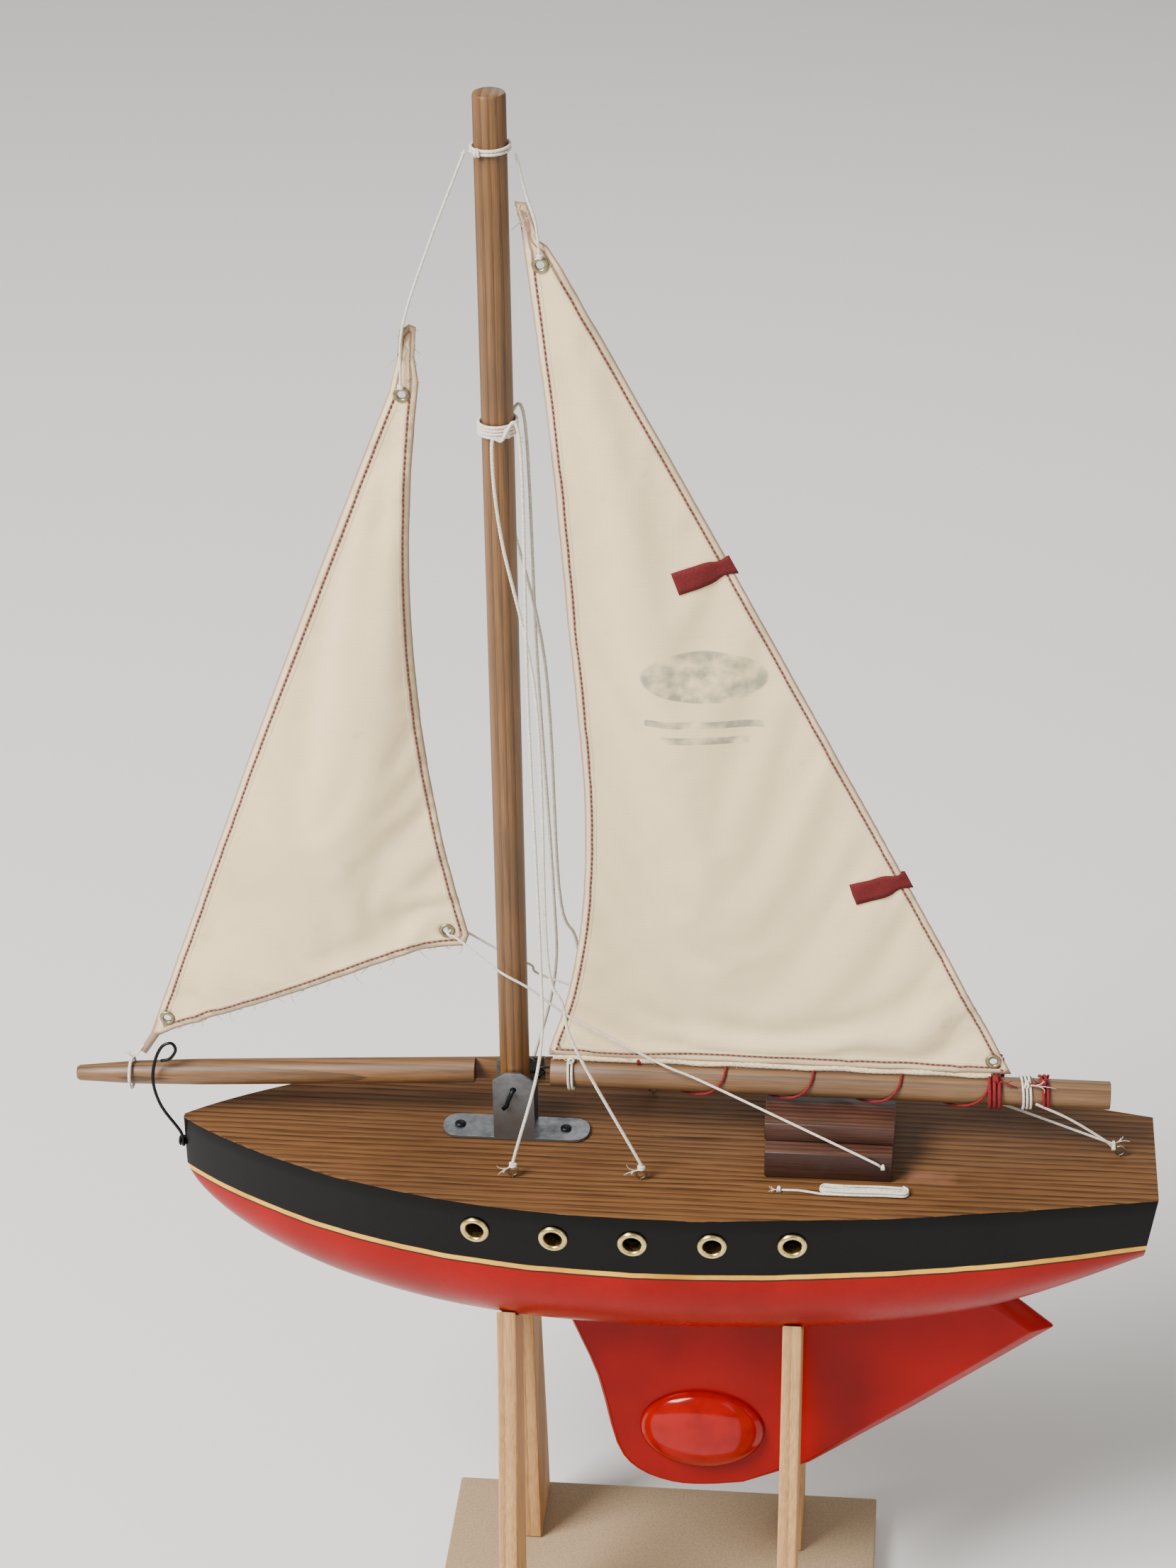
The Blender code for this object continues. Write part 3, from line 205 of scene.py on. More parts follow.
spar_wood = wood("oiled_beech_dowel", "#7A5228", "#5C3C1A", "#2C1A08", "Z", fibre_mm=0.45, line_mm=2.6,
                 roughness=0.48, coat=0.12)
boom_wood = wood("handled_beech_boom", "#7C5C3E", "#624528", "#33200F", "X", fibre_mm=0.5, line_mm=3.2,
                 roughness=0.5, coat=0.1)
bowsprit_wood = wood("handled_beech_bowsprit", "#78532F", "#5C3E1F", "#2D1C0B", "X", fibre_mm=0.5,
                     line_mm=3.0, roughness=0.48, coat=0.1)
cabin_wood = wood("dark_stained_mahogany", "#5E3524", "#361C12", "#190C07", "X", fibre_mm=0.5, line_mm=2.4,
                  roughness=0.5, coat=0.1, stain=0.5)
arm_wood = wood("bare_pine_board", "#C49A66", "#AC7F4C", "#7C5227", "Z", fibre_mm=0.6, line_mm=4.0,
                line_share=0.4, roughness=0.7, stain=0.2)
print("wood finishes:", [m.name for m in bpy.data.materials if "beech" in m.name or "pine" in m.name])

# %% [markdown]
# ## Metal
# Brass eyelets are polished where fingers touch and brown in their corners. Sheet zinc goes dull grey with
# pale rubs, and steel wire is blackened. All three are one recipe: patches of a few millimetres, in which the
# metal is darker and rougher.

# %% Metal finishes


def metal(name, pale, dark, roughness, patch_mm=3.0, dark_share=0.4):
    """Rolled or drawn metal that has aged in patches: darker there, and duller."""
    material, shader = start_material(name, metallic=1.0)
    tree = material.node_tree
    place = add(tree, COORDINATES).outputs["Object"]
    patchy = {"Vector": place, "Scale": 1 / (patch_mm * MM), "Detail": 5.0, "Roughness": 0.65}
    patches = add(tree, NOISE, patchy)
    age = add(tree, RANGE, {"Value": patches, "From Min": 0.4, "From Max": 0.72})
    age = add(tree, MATH, {0: age, 1: dark_share}, operation="MULTIPLY")
    colour = add(tree, BLEND, {SHARE: age, FIRST: linear(pale), SECOND: linear(dark)}, data_type="RGBA")
    dullness = add(tree, MATH, {0: age, 1: 0.35}, operation="MULTIPLY")
    dullness = add(tree, MATH, {0: dullness, 1: roughness}, operation="ADD")
    relief = add(tree, BUMP, {"Height": patches, "Strength": 0.4, "Distance": 0.03 * MM})
    connect(tree, shader, {"Base Color": colour, "Roughness": dullness, "Normal": relief})
    return material


brass = metal("aged_brass_eyelet", "#E0C98C", "#6B5228", 0.22)
dull_brass = metal("tarnished_brass_eyelet", "#A39678", "#3A3024", 0.35, dark_share=0.8)
zinc = metal("dull_zinc_sheet", "#8B8E90", "#4E5154", 0.42, patch_mm=5.0, dark_share=0.7)
black_wire = metal("blackened_steel_wire", "#2A2B2E", "#120F0D", 0.38, patch_mm=1.5)
print("metal finishes ready")

# %% [markdown]
# ## Cord, thread and board
# Cotton string and thread are matt, with a little sheen from their loose fibres. Their twist is in the mesh,
# so the finish only adds flecks of under a millimetre. The base is hardboard: pressed brown fibre, flat, with
# a fine speckle.

# %% Cord and cloth finishes


def twisted_fibre(name, pale, dark, fuzz=0.35):
    """Cotton cord or thread: matt, with paler and darker flecks."""
    material, shader = start_material(name, roughness=0.9, sheen_weight=fuzz, sheen_roughness=0.6)
    tree = material.node_tree
    place = add(tree, COORDINATES).outputs["Object"]
    flecks = add(tree, NOISE, {"Vector": place, "Scale": 1 / (0.8 * MM), "Detail": 3.0})
    worn = add(tree, RANGE, {"Value": flecks, "From Min": 0.35, "From Max": 0.7})
    colour = add(tree, BLEND, {SHARE: worn, FIRST: linear(pale), SECOND: linear(dark)}, data_type="RGBA")
    relief = add(tree, BUMP, {"Height": flecks, "Strength": 0.5, "Distance": 0.08 * MM})
    connect(tree, shader, {"Base Color": colour, "Normal": relief})
    return material


cotton_cord = twisted_fibre("twisted_cotton_string", "#DDD5C6", "#B9AE9B")
red_thread = twisted_fibre("dyed_red_thread", "#820308", "#520206", fuzz=0.0)
red_tape = twisted_fibre("red_cotton_tape", "#600003", "#480003", fuzz=0.0)
seam_thread = twisted_fibre("brown_seam_thread", "#6E261E", "#431410", fuzz=0.1)


def fibreboard():
    """Hardboard base: pressed brown fibre, flat, with speckle and faint scuffs."""
    material, shader = start_material("pressed_fibreboard", roughness=0.75)
    tree = material.node_tree
    place = add(tree, COORDINATES).outputs["Object"]
    speckle = add(tree, NOISE, {"Vector": place, "Scale": 1 / (0.9 * MM), "Detail": 4.0, "Roughness": 0.7})
    clouds = add(tree, NOISE, {"Vector": place, "Scale": 14.0, "Detail": 2.0})
    fibre_colour = add(tree, RAMP, {"Fac": speckle}, [(0.3, "#8D7659"), (0.55, "#A78E6C"), (0.8, "#B9A17E")])
    scuffs = add(tree, MATH, {0: clouds, 1: 0.45}, operation="MULTIPLY")
    mixed = {SHARE: scuffs, FIRST: fibre_colour, SECOND: linear("#7C6850")}
    colour = add(tree, BLEND, mixed, data_type="RGBA")
    relief = add(tree, BUMP, {"Height": speckle, "Strength": 0.5, "Distance": 0.06 * MM})
    connect(tree, shader, {"Base Color": colour, "Normal": relief})
    return material


base_board = fibreboard()
print("cord, thread and board finishes ready")

# %% [markdown]
# ## Cord geometry
# A string is two or three strands laid round each other. A tube whose round section is pinched into lobes,
# and whose lobes turn as the tube goes along, is that shape, and it shows at the cord's outline too. Its
# route is a smooth curve through a few chosen points, walked at an even step.

# %% Routes and twisted tubes


def smooth_route(points, pieces):
    """The same curve through chosen points as the frame's cords follow."""
    points = [Vector(p) for p in points]
    padded = [2 * points[0] - points[1], *points, 2 * points[-1] - points[-2]]
    found = []
    for a, b, c, d in zip(padded, padded[1:], padded[2:], padded[3:]):
        for i in range(pieces):
            t = i / pieces
            found.append(
                0.5 * (2 * b + (c - a) * t + (2 * a - 5 * b + 4 * c - d) * t**2
                       + (3 * b - a - 3 * c + d) * t**3)
            )
    return [*found, points[-1]]


def even_steps(points, step):
    """Points a step apart along a route, the last one kept."""
    found = [points[0]]
    left = step
    for a, b in zip(points, points[1:]):
        length = (b - a).length
        while length >= left:
            a = a + (b - a) * (left / length)
            found.append(a)
            length = (b - a).length
            left = step
        left -= length
    if (found[-1] - points[-1]).length > step * 0.2:
        found.append(points[-1])
    return found


def new_piece(name, mesh, *materials):
    piece = bpy.data.objects.new(name, mesh)
    bpy.context.scene.collection.objects.link(piece)
    for material in materials:
        piece.data.materials.append(material)
    return piece


def finish_mesh(shape, name, *materials, smooth_to=None):
    """A bmesh made a piece, its faces turned outwards."""
    bmesh.ops.recalc_face_normals(shape, faces=shape.faces)
    mesh = bpy.data.meshes.new(name)
    shape.to_mesh(mesh)
    shape.free()
    piece = new_piece(name, mesh, *materials)
    if smooth_to:
        mesh.shade_smooth()
        mesh.set_sharp_from_angle(angle=math.radians(smooth_to))
    return piece


def twisted_tube(shape, route, radius_mm, strands=3, pitch_mm=4.0, sides=12, closed=False, taper=False):
    """Adds a cord of laid strands to a bmesh, along a route in metres."""
    step = max(radius_mm * 0.7, 0.35) * MM
    line = even_steps(route, step)
    if closed:
        line = line[:-1]
    rings = []
    across = Vector((0, 1, 0)) if abs((line[1] - line[0]).normalized().y) < 0.8 else Vector((1, 0, 0))
    last = len(line) - 1
    for i, here in enumerate(line):
        before = line[i - 1 if i or closed else 0]
        after = line[(i + 1) % len(line) if closed or i < last else i]
        way = (after - before).normalized()
        across = (across - way * across.dot(way)).normalized()
        up = way.cross(across)
        ring = []
        twist = 2 * math.pi * i * step / (pitch_mm * MM)
        size = radius_mm * MM
        if taper:
            size *= 1 - 0.75 * (i / len(line)) ** 2
        for k in range(sides):
            turn = 2 * math.pi * k / sides
            lobe = 0.8 + 0.2 * abs(math.cos(strands / 2 * (turn - twist)))
            out = across * math.cos(turn) + up * math.sin(turn)
            ring.append(shape.verts.new(here + out * size * lobe))
        rings.append(ring)
    pairs = list(zip(rings, rings[1:]))
    if closed:
        pairs.append((rings[-1], rings[0]))
    for first, second in pairs:
        for k in range(sides):
            m = (k + 1) % sides
            shape.faces.new((first[k], first[m], second[m], second[k]))
    if not closed:
        shape.faces.new(list(reversed(rings[0])))
        shape.faces.new(rings[-1])


def cord_piece(name, route, radius_mm, material, strands=3, pitch_mm=4.0, sides=10, closed=False):
    shape = bmesh.new()
    twisted_tube(shape, route, radius_mm, strands, pitch_mm, sides, closed)
    return finish_mesh(shape, name, material, smooth_to=60)


def knot_route(centre, way, size_mm, turns=2.2):
    """A ball of a few turns of cord round a point."""
    way = Vector(way).normalized()
    side = way.orthogonal().normalized()
    up = way.cross(side)
    found = []
    steps = int(16 * turns)
    for i in range(steps + 1):
        turn = 2 * math.pi * i / 16
        lean = 0.5 * math.sin(turn * 0.5)
        out = side * math.cos(turn) + up * math.sin(turn)
        found.append(centre + (out + way * lean) * size_mm * MM)
    return found


def frayed_ends(shape, start, way, length_mm, count=5, radius_mm=0.16, spread=0.5):
    """Loose strands of a cut cord's end, fanned out, drawn a little thicker than real fibres."""
    way = Vector(way).normalized()
    side = way.orthogonal().normalized()
    up = way.cross(side)
    for i in range(count):
        turn = 2.4 * i
        lean = (side * math.cos(turn) + up * math.sin(turn)) * spread * (0.4 + 0.6 * ((i * 7) % 5) / 5)
        reach = length_mm * (0.65 + 0.35 * ((i * 3) % 4) / 3) * MM
        points = [start, start + (way + lean * 0.3) * reach * 0.4, start + (way + lean) * reach * 0.75,
                  start + (way * 0.9 + lean * 1.5) * reach]
        twisted_tube(shape, smooth_route(points, 4), radius_mm, 2, 3.0, 5, taper=True)


print("cord helpers ready")

# %% [markdown]
# ## The hank of spare cord
# The sheet's spare end is folded up and down on the side deck, beside the cabin. It is the one free cord
# here, so it comes first: a short lead from its knot, then flat turns laid side by side and on each other.

# %% Free cord on the deck
HANK_CORD_RADIUS = 0.45
HANK_START = (43.5, -30.2)
HANK_TURNS = 3.5
HANK_WIDE = 2.75
HANK_NARROWS = 0.95
HANK_STRAIGHT = 13.25
hank_low, hank_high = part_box("deck_hank")


def oval_point(share_round, half_width):
    """A point of a long oval with round ends, in the order that a hand folds a cord."""
    bend = math.pi * half_width
    far = share_round * 2 * (2 * HANK_STRAIGHT + bend)
    if far < 2 * HANK_STRAIGHT:
        return far - HANK_STRAIGHT, -half_width
    far -= 2 * HANK_STRAIGHT
    if far < bend:
        turn = far / half_width - math.pi / 2
        return HANK_STRAIGHT + half_width * math.cos(turn), half_width * math.sin(turn)
    far -= bend
    if far < 2 * HANK_STRAIGHT:
        return HANK_STRAIGHT - far, half_width
    turn = (far - 2 * HANK_STRAIGHT) / half_width + math.pi / 2
    return -HANK_STRAIGHT + half_width * math.cos(turn), half_width * math.sin(turn)


def hank_route():
    """A lead along the deck, two nested ovals, then ovals on top of them from the inside out."""
    x, y = HANK_START
    low = 0.3 + HANK_CORD_RADIUS
    middle_x = ((hank_low.x + hank_high.x) / 2 - MIDDLE_X) / MM
    middle_y = (hank_low.y + hank_high.y) / 2 / MM
    first = (middle_x - HANK_STRAIGHT, middle_y - HANK_WIDE)
    lead = smooth_route([(x, y, low), (x + 6, y - 0.2, low + 0.2), (x + 11, y - 0.7, low),
                         (first[0] - 1.5, first[1], low), (*first, low)], 8)
    points = lead[:-1]
    steps = 150
    for i in range(round(HANK_TURNS * steps)):
        turn = i / steps
        half_width = HANK_WIDE - HANK_NARROWS * (turn if turn < 2 else 4 - turn)
        along, across = oval_point(turn % 1, half_width)
        rise = max(0.0, min(1.0, (turn - 1.75) / 0.25)) * 2 * HANK_CORD_RADIUS * 1.02
        wander = 0.25 * math.sin(along * 0.21) * min(1.0, (turn * 4))
        points.append(Vector((middle_x + along, middle_y + across + wander, low + rise)))
    return [deck(*p) for p in points]


def lay_hank():
    route = even_steps(hank_route(), 0.4 * MM)
    hank = cord_piece("hank_of_spare_cord", route, HANK_CORD_RADIUS, cotton_cord, 3, 3.0, 10)
    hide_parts("deck_hank", "deck_hank_lead")
    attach(hank, "hull")
    shape = bmesh.new()
    start = route[0]
    twisted_tube(shape, smooth_route(knot_route(start + Vector((-0.9, 0, 0.35)) * MM, (1, 0, 0), 0.75), 2),
                 HANK_CORD_RADIUS, 3, 3.0, 8)
    frayed_ends(shape, start + Vector((-1.5, -0.2, 0.2)) * MM, (-1, -0.35, 0.12), 3.5)
    knot = finish_mesh(shape, "hank_knot", cotton_cord, smooth_to=60)
    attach(knot, "hull")


lay_hank()

# %% [markdown]
# ## Pieces taken over from the frame
# Blocks and plates have the right shape already, but an exact block has edges sharper than any real one. A
# copy of the node is merged, its flat faces are joined, and where a width is given a small Bevel rounds the
# edges so that they catch light. Sawn board and the cabin's blocks keep the corners that the saw left.

# %% Eased copies of the frame's parts


def eased(node, material, body, width_mm=0.0, *, flat_to=1.0, smooth_to=40, angle=30):
    """A merged and bevelled copy of a node, which stands for it."""
    shape = bmesh.new()
    shape.from_mesh(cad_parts[node].data)
    bmesh.ops.remove_doubles(shape, verts=shape.verts, dist=0.002 * MM)
    if flat_to:
        flat = math.radians(flat_to)
        bmesh.ops.dissolve_limit(shape, angle_limit=flat, verts=shape.verts, edges=shape.edges)
    mesh = bpy.data.meshes.new(node + "_finished")
    shape.to_mesh(mesh)
    shape.free()
    mesh.shade_smooth()
    mesh.set_sharp_from_angle(angle=math.radians(smooth_to))
    piece = new_piece(node + "_finished", mesh, material)
    if width_mm:
        edge = piece.modifiers.new("eased_edges", "BEVEL")
        edge.width = width_mm * MM
        edge.segments = 2
        edge.limit_method = "ANGLE"
        edge.angle_limit = math.radians(angle)
        edge.harden_normals = False
        edge.use_clamp_overlap = True
    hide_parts(node)
    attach(piece, body)


eased("stand_base", base_board, "stand", 0.0)
for arm_side in ("port", "starboard"):
    for arm_end in ("fore", "aft"):
        eased(f"stand_arm_{arm_side}_{arm_end}", arm_wood, "stand", 0.5)
for cabin_node in ("cabin_step", "cabin_top"):
    eased(cabin_node, cabin_wood, "hull", 0.0)
print("stand and cabin eased")

# %% [markdown]
# ## Enamel
# The keel is brush-painted in glossy red enamel: a smooth coat that pools and sags a little, so its
# reflections wave. The cast ballast has a coarser skin under the same paint.

# %% Red enamel


def enamel(name, colour, deep, roughness, wave_mm=14.0, depth_mm=0.25, coat=0.6):
    """Brushed enamel: glossy over slow waves, deeper in colour where it has pooled."""
    material, shader = start_material(name, roughness=roughness, coat_weight=coat, coat_roughness=0.08,
                                      specular_ior_level=0.14)
    tree = material.node_tree
    place = add(tree, COORDINATES).outputs["Object"]
    waves = add(tree, NOISE, {"Vector": place, "Scale": 1 / (wave_mm * MM), "Detail": 2.0})
    pooled = add(tree, RANGE, {"Value": waves, "From Min": 0.4, "From Max": 0.75})
    colour = add(tree, BLEND, {SHARE: pooled, FIRST: linear(colour), SECOND: linear(deep)}, data_type="RGBA")
    relief = add(tree, BUMP, {"Height": waves, "Strength": 0.5, "Distance": depth_mm * MM})
    connect(tree, shader, {"Base Color": colour, "Normal": relief})
    return material


keel_enamel = enamel("glossy_red_enamel", "#960000", "#800000", 0.27, wave_mm=30.0, depth_mm=0.12, coat=0.04)
ballast_enamel = enamel("red_enamel_on_casting", "#9C0000", "#880000", 0.14, wave_mm=7.0, depth_mm=0.2,
                        coat=0.3)
eased("keel", keel_enamel, "hull", 0.4, flat_to=0.5, smooth_to=25)


def cast_ballast(side_word):
    """A cast oval bun against the keel's side, cushioned at its rim."""
    low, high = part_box(f"ballast_{side_word}")
    middle, size = (low + high) / 2, high - low
    outward = -1 if side_word == "port" else 1
    flat_y = high.y if outward < 0 else low.y
    shape = bmesh.new()
    rows, columns = 14, 48
    rings = []
    for i in range(rows):
        turn = math.pi / 2 * i / (rows - 1)
        out = math.cos(turn) ** 0.85 if i < rows - 1 else 0.0
        rise = math.sin(turn)
        if i == rows - 1:
            rings.append([shape.verts.new((middle.x, flat_y + outward * size.y, middle.z))])
            continue
        rings.append([
            shape.verts.new((middle.x + size.x / 2 * out * math.cos(2 * math.pi * k / columns),
                             flat_y + outward * size.y * rise,
                             middle.z + size.z / 2 * out * math.sin(2 * math.pi * k / columns)))
            for k in range(columns)
        ])
    for first, second in zip(rings, rings[1:]):
        for k in range(columns):
            m = (k + 1) % columns
            if len(second) == 1:
                shape.faces.new((first[k], first[m], second[0]))
            else:
                shape.faces.new((first[k], first[m], second[m], second[k]))
    shape.faces.new(rings[0])
    bun = finish_mesh(shape, f"ballast_{side_word}_finished", ballast_enamel, smooth_to=60)
    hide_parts(f"ballast_{side_word}")
    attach(bun, "hull")


for ballast_side in ("port", "starboard"):
    cast_ballast(ballast_side)
print("keel and ballast painted")

# %% [markdown]
# ## Hull
# The hull follows a rule: each cross-section is a waist and a rounded bilge, and its width and depth change
# along the boat. The same rule as the frame's, walked in finer steps, gives a fair surface. The bores for the
# portholes are cut out of it, so each eyelet opens into the dark.

# %% Hull shape
STEM_WIDTH, BEAM, TRANSOM_BEAM = 2.4, 100.0, 51.0
HULL_DEPTH, TRANSOM_DEPTH, FOREFOOT_DEPTH = 70.0, 33.0, 20.0
BAND_DEPTH, BAND_RISE, TUMBLE, BILGE_POWER = 25.2, 5.0, 2.0, 2.2
TRANSOM_RAKE, TRANSOM_BULGE, TRANSOM_REACH = 0.14, 1.8, 55.0
PORTHOLE_XS = [-63.4 + 27.9 * i for i in range(5)]
PORTHOLE_Z = -11.4
# The drill is centred a little below the surface, so that it cuts through it and stops in the wood.
BORE_RADIUS, BORE_DEPTH, BORE_SUNK = 4.1, 9, 1.5


def share(x, edge):
    return min(1.0, max(0.0, x / edge))


def half_breadth(x):
    if x < 0:
        return STEM_WIDTH / 2 + (BEAM - STEM_WIDTH) / 2 * (1 - share(-x, HALF) ** 2.35) ** 0.92
    return BEAM / 2 - (BEAM - TRANSOM_BEAM) / 2 * share(x, HALF) ** 1.55


def band_drop(x):
    return BAND_DEPTH - BAND_RISE * abs(x / HALF) ** 3


def keel_drop(x):
    if x < 0:
        return FOREFOOT_DEPTH + (HULL_DEPTH - FOREFOOT_DEPTH) * (1 - share(-x, HALF) ** 2.6) ** 0.6
    return HULL_DEPTH - (HULL_DEPTH - TRANSOM_DEPTH) * share(x, HALF) ** 3


def side_y(x, drop):
    """Half the hull's width at x, this far below the deck."""
    deck_y, band, low = half_breadth(x), band_drop(x), keel_drop(x)
    waist = deck_y - TUMBLE * deck_y / (BEAM / 2)
    if drop <= band:
        return deck_y + (waist - deck_y) * drop / band
    depth = share(drop - band, low - band)
    return waist * (1 - depth**BILGE_POWER) ** (1 / BILGE_POWER)


def section_points(x):
    """From the port deck edge round underneath to the starboard one."""
    deck_y, band, low = half_breadth(x), band_drop(x), keel_drop(x)
    waist = deck_y - TUMBLE * deck_y / (BEAM / 2)
    ease = min(0.6, deck_y * 0.3)
    side = [(deck_y - ease, 0.0), (deck_y - ease * 0.3, ease * 0.3), (deck_y, ease)]
    side += [(deck_y + (waist - deck_y) * k / 4, ease + (band - ease) * k / 4) for k in range(1, 5)]
    for i in range(1, 25):
        turn = math.pi / 2 * i / 24
        across = waist * max(0.0, math.cos(turn)) ** (2 / BILGE_POWER)
        side.append((across, band + (low - band) * math.sin(turn) ** (2 / BILGE_POWER)))
    side[-1] = (0.0, low)
    port = [(-y, -d) for y, d in side]
    return port + [(-y, z) for y, z in reversed(port[:-1])]


def aft_shift(x, y, z):
    near = share(x - (HALF - TRANSOM_REACH), TRANSOM_REACH)
    return near * (TRANSOM_RAKE * z + TRANSOM_BULGE * (1 - (y / (TRANSOM_BEAM / 2)) ** 2))


def porthole_facing(x, side):
    slope = (side_y(x + 1, -PORTHOLE_Z) - side_y(x - 1, -PORTHOLE_Z)) / 2
    lean = (side_y(x, 1 - PORTHOLE_Z) - side_y(x, -1 - PORTHOLE_Z)) / 2
    return Vector((-slope, side, lean)).normalized()


def loft_hull(stations=110):
    shape = bmesh.new()
    rings = []
    for i in range(stations):
        x = -HALF * math.cos(math.pi * i / (stations - 1))
        rings.append([shape.verts.new(deck(x + aft_shift(x, y, z), y, z)) for y, z in section_points(x)])
    count = len(rings[0])
    for fore, aft in zip(rings, rings[1:]):
        for j in range(count - 1):
            shape.faces.new((fore[j], fore[j + 1], aft[j + 1], aft[j]))
        shape.faces.new((fore[-1], fore[0], aft[0], aft[-1]))
    for ring in (rings[0], rings[-1]):
        for j in range(count // 2 - 1):
            shape.faces.new((ring[j], ring[j + 1], ring[count - 2 - j], ring[count - 1 - j]))
        shape.faces.new(ring[count // 2 - 1 : count // 2 + 2])
    return finish_mesh(shape, "painted_hull")


def bore_portholes(hull):
    drill = bmesh.new()
    for side in (-1, 1):
        for x in PORTHOLE_XS:
            out = porthole_facing(x, side)
            seat = deck(x, side * side_y(x, -PORTHOLE_Z), PORTHOLE_Z)
            turn = out.to_track_quat("Z", "Y").to_matrix().to_4x4()
            bmesh.ops.create_cone(drill, cap_ends=True, segments=32, radius1=BORE_RADIUS * MM,
                                  radius2=BORE_RADIUS * MM, depth=BORE_DEPTH * MM,
                                  matrix=Matrix.Translation(seat - out * BORE_SUNK * MM) @ turn)
    drills = finish_mesh(drill, "porthole_drills")
    cut = hull.modifiers.new("bores", "BOOLEAN")
    cut.object = drills
    graph = bpy.context.evaluated_depsgraph_get()
    mesh = bpy.data.meshes.new_from_object(hull.evaluated_get(graph))
    hull.modifiers.clear()
    hull.data = mesh
    bpy.data.objects.remove(drills)
    mesh.shade_smooth()
    mesh.set_sharp_from_angle(angle=math.radians(28))


print("widest at", round(2 * half_breadth(0), 1), "mm, deepest at", round(keel_drop(0), 1), "mm")

# %% [markdown]
# The paint follows the same rule as the shape: the yellow line runs along the waist, wherever that is. So the
# finish works out how far each point is below the deck, and changes its coat there. The deck is bare pine,
# stained, with fibres and growth lines that run fore and aft. A little of the black has chipped off its edge.

# %% Hull paint


def hull_paint():
    """Bare stained deck, black topsides, a thin yellow line and a red bottom; chipped at the deck's edge."""
    material, shader = start_material("enamelled_hull", roughness=0.3, specular_ior_level=0.15)
    tree = material.node_tree
    place = add(tree, COORDINATES).outputs["Object"]
    parts = add(tree, "ShaderNodeSeparateXYZ", {"Vector": place}).outputs
    # How far a point lies below the topsides' lower edge, which rises towards both ends.
    drop = add(tree, MATH, {0: DECK_Z, 1: parts["Z"]}, operation="SUBTRACT")
    along = add(tree, MATH, {0: parts["X"], 1: MIDDLE_X}, operation="SUBTRACT")
    along = add(tree, MATH, {0: along, 1: HALF * MM}, operation="DIVIDE")
    along = add(tree, MATH, {0: along, 1: 0.0}, operation="ABSOLUTE")
    cubed = add(tree, MATH, {0: along, 1: 3.0}, operation="POWER")
    rise = add(tree, MATH, {0: cubed, 1: BAND_RISE * MM}, operation="MULTIPLY")
    band = add(tree, MATH, {0: BAND_DEPTH * MM, 1: rise}, operation="SUBTRACT")
    wobble = add(tree, NOISE, {"Vector": place, "Scale": 60.0, "Detail": 3.0})
    wobble = add(tree, MATH, {0: wobble, 1: 0.5}, operation="SUBTRACT")
    wobble = add(tree, MATH, {0: wobble, 1: 0.9 * MM}, operation="MULTIPLY")
    below = add(tree, MATH, {0: drop, 1: band}, operation="SUBTRACT")
    below = add(tree, MATH, {0: below, 1: wobble}, operation="ADD")
    # The coats of paint, black, yellow and red, and between the yellow and the red a thin dark maroon line,
    # 0.7 mm wide, from the top down: each hides the one above it from its own line on.
    grime = add(tree, NOISE, {"Vector": place, "Scale": 35.0, "Detail": 5.0, "Roughness": 0.6})
    coats = []
    for low, high, clean, soiled in ((0.45, 0.8, "#010101", "#040405"), (0.4, 0.7, "#EDB440", "#B97F1E"),
                                     (0.35, 0.8, "#960000", "#7C0000")):
        soil = add(tree, RANGE, {"Value": grime, "From Min": low, "From Max": high})
        mixed = {SHARE: soil, FIRST: linear(clean), SECOND: linear(soiled)}
        coats.append(add(tree, BLEND, mixed, data_type="RGBA"))
    black, yellow, red = coats
    edge = 0.12 * MM
    colour = black
    for line_mm, coat in ((0.0, yellow), (2.0, linear("#3A1512")), (2.7, red)):
        line = {"Value": below, "From Min": line_mm * MM - edge, "From Max": line_mm * MM + edge}
        past = add(tree, RANGE, line)
        colour = add(tree, BLEND, {SHARE: past, FIRST: colour, SECOND: coat}, data_type="RGBA")
    # Deck: long fibres and growth lines running fore and aft.
    fibre_place = add(tree, MAPPING, {"Vector": place, "Scale": (35, 1500, 1500)})
    fibres = add(tree, NOISE, {"Vector": fibre_place, "Scale": 1.0, "Detail": 4.0, "Roughness": 0.65})
    growth_place = add(tree, MAPPING, {"Vector": place, "Scale": (0.05, 1.0, 0.0)})
    growth = {"Vector": growth_place, "Scale": WAVE_SPACING / (3.1 * MM), "Distortion": 4.5, "Detail": 4.0,
              "Detail Scale": 2.0}
    lines = add(tree, WAVE, growth, bands_direction="Y", wave_profile="SAW")
    late_wood = add(tree, RANGE, {"Value": lines.outputs["Fac"], "From Min": 0.3, "From Max": 1.0})
    broken = add(tree, RANGE, {"Value": fibres, "From Min": 0.25, "From Max": 0.6})
    streaks = add(tree, MATH, {0: late_wood, 1: broken}, operation="MULTIPLY")
    streaks = add(tree, MATH, {0: streaks, 1: 0.75}, operation="MULTIPLY")
    dark_fibres = add(tree, RANGE, {"Value": fibres, "From Min": 0.4, "From Max": 0.8})
    dark_fibres = add(tree, MATH, {0: dark_fibres, 1: 0.35}, operation="MULTIPLY")
    streaks = add(tree, MATH, {0: streaks, 1: dark_fibres}, operation="ADD")
    planks = add(tree, RAMP, {"Fac": streaks}, [(0.0, "#684729"), (0.4, "#4C3018"), (0.95, "#201106")])
    clouds = add(tree, NOISE, {"Vector": place, "Scale": 18.0, "Detail": 3.0})
    clouds = add(tree, RANGE, {"Value": clouds, "From Min": 0.45, "From Max": 0.75})
    clouds = add(tree, MATH, {0: clouds, 1: 0.4}, operation="MULTIPLY")
    planks = add(tree, BLEND, {SHARE: clouds, FIRST: planks, SECOND: linear("#38200C")}, data_type="RGBA")
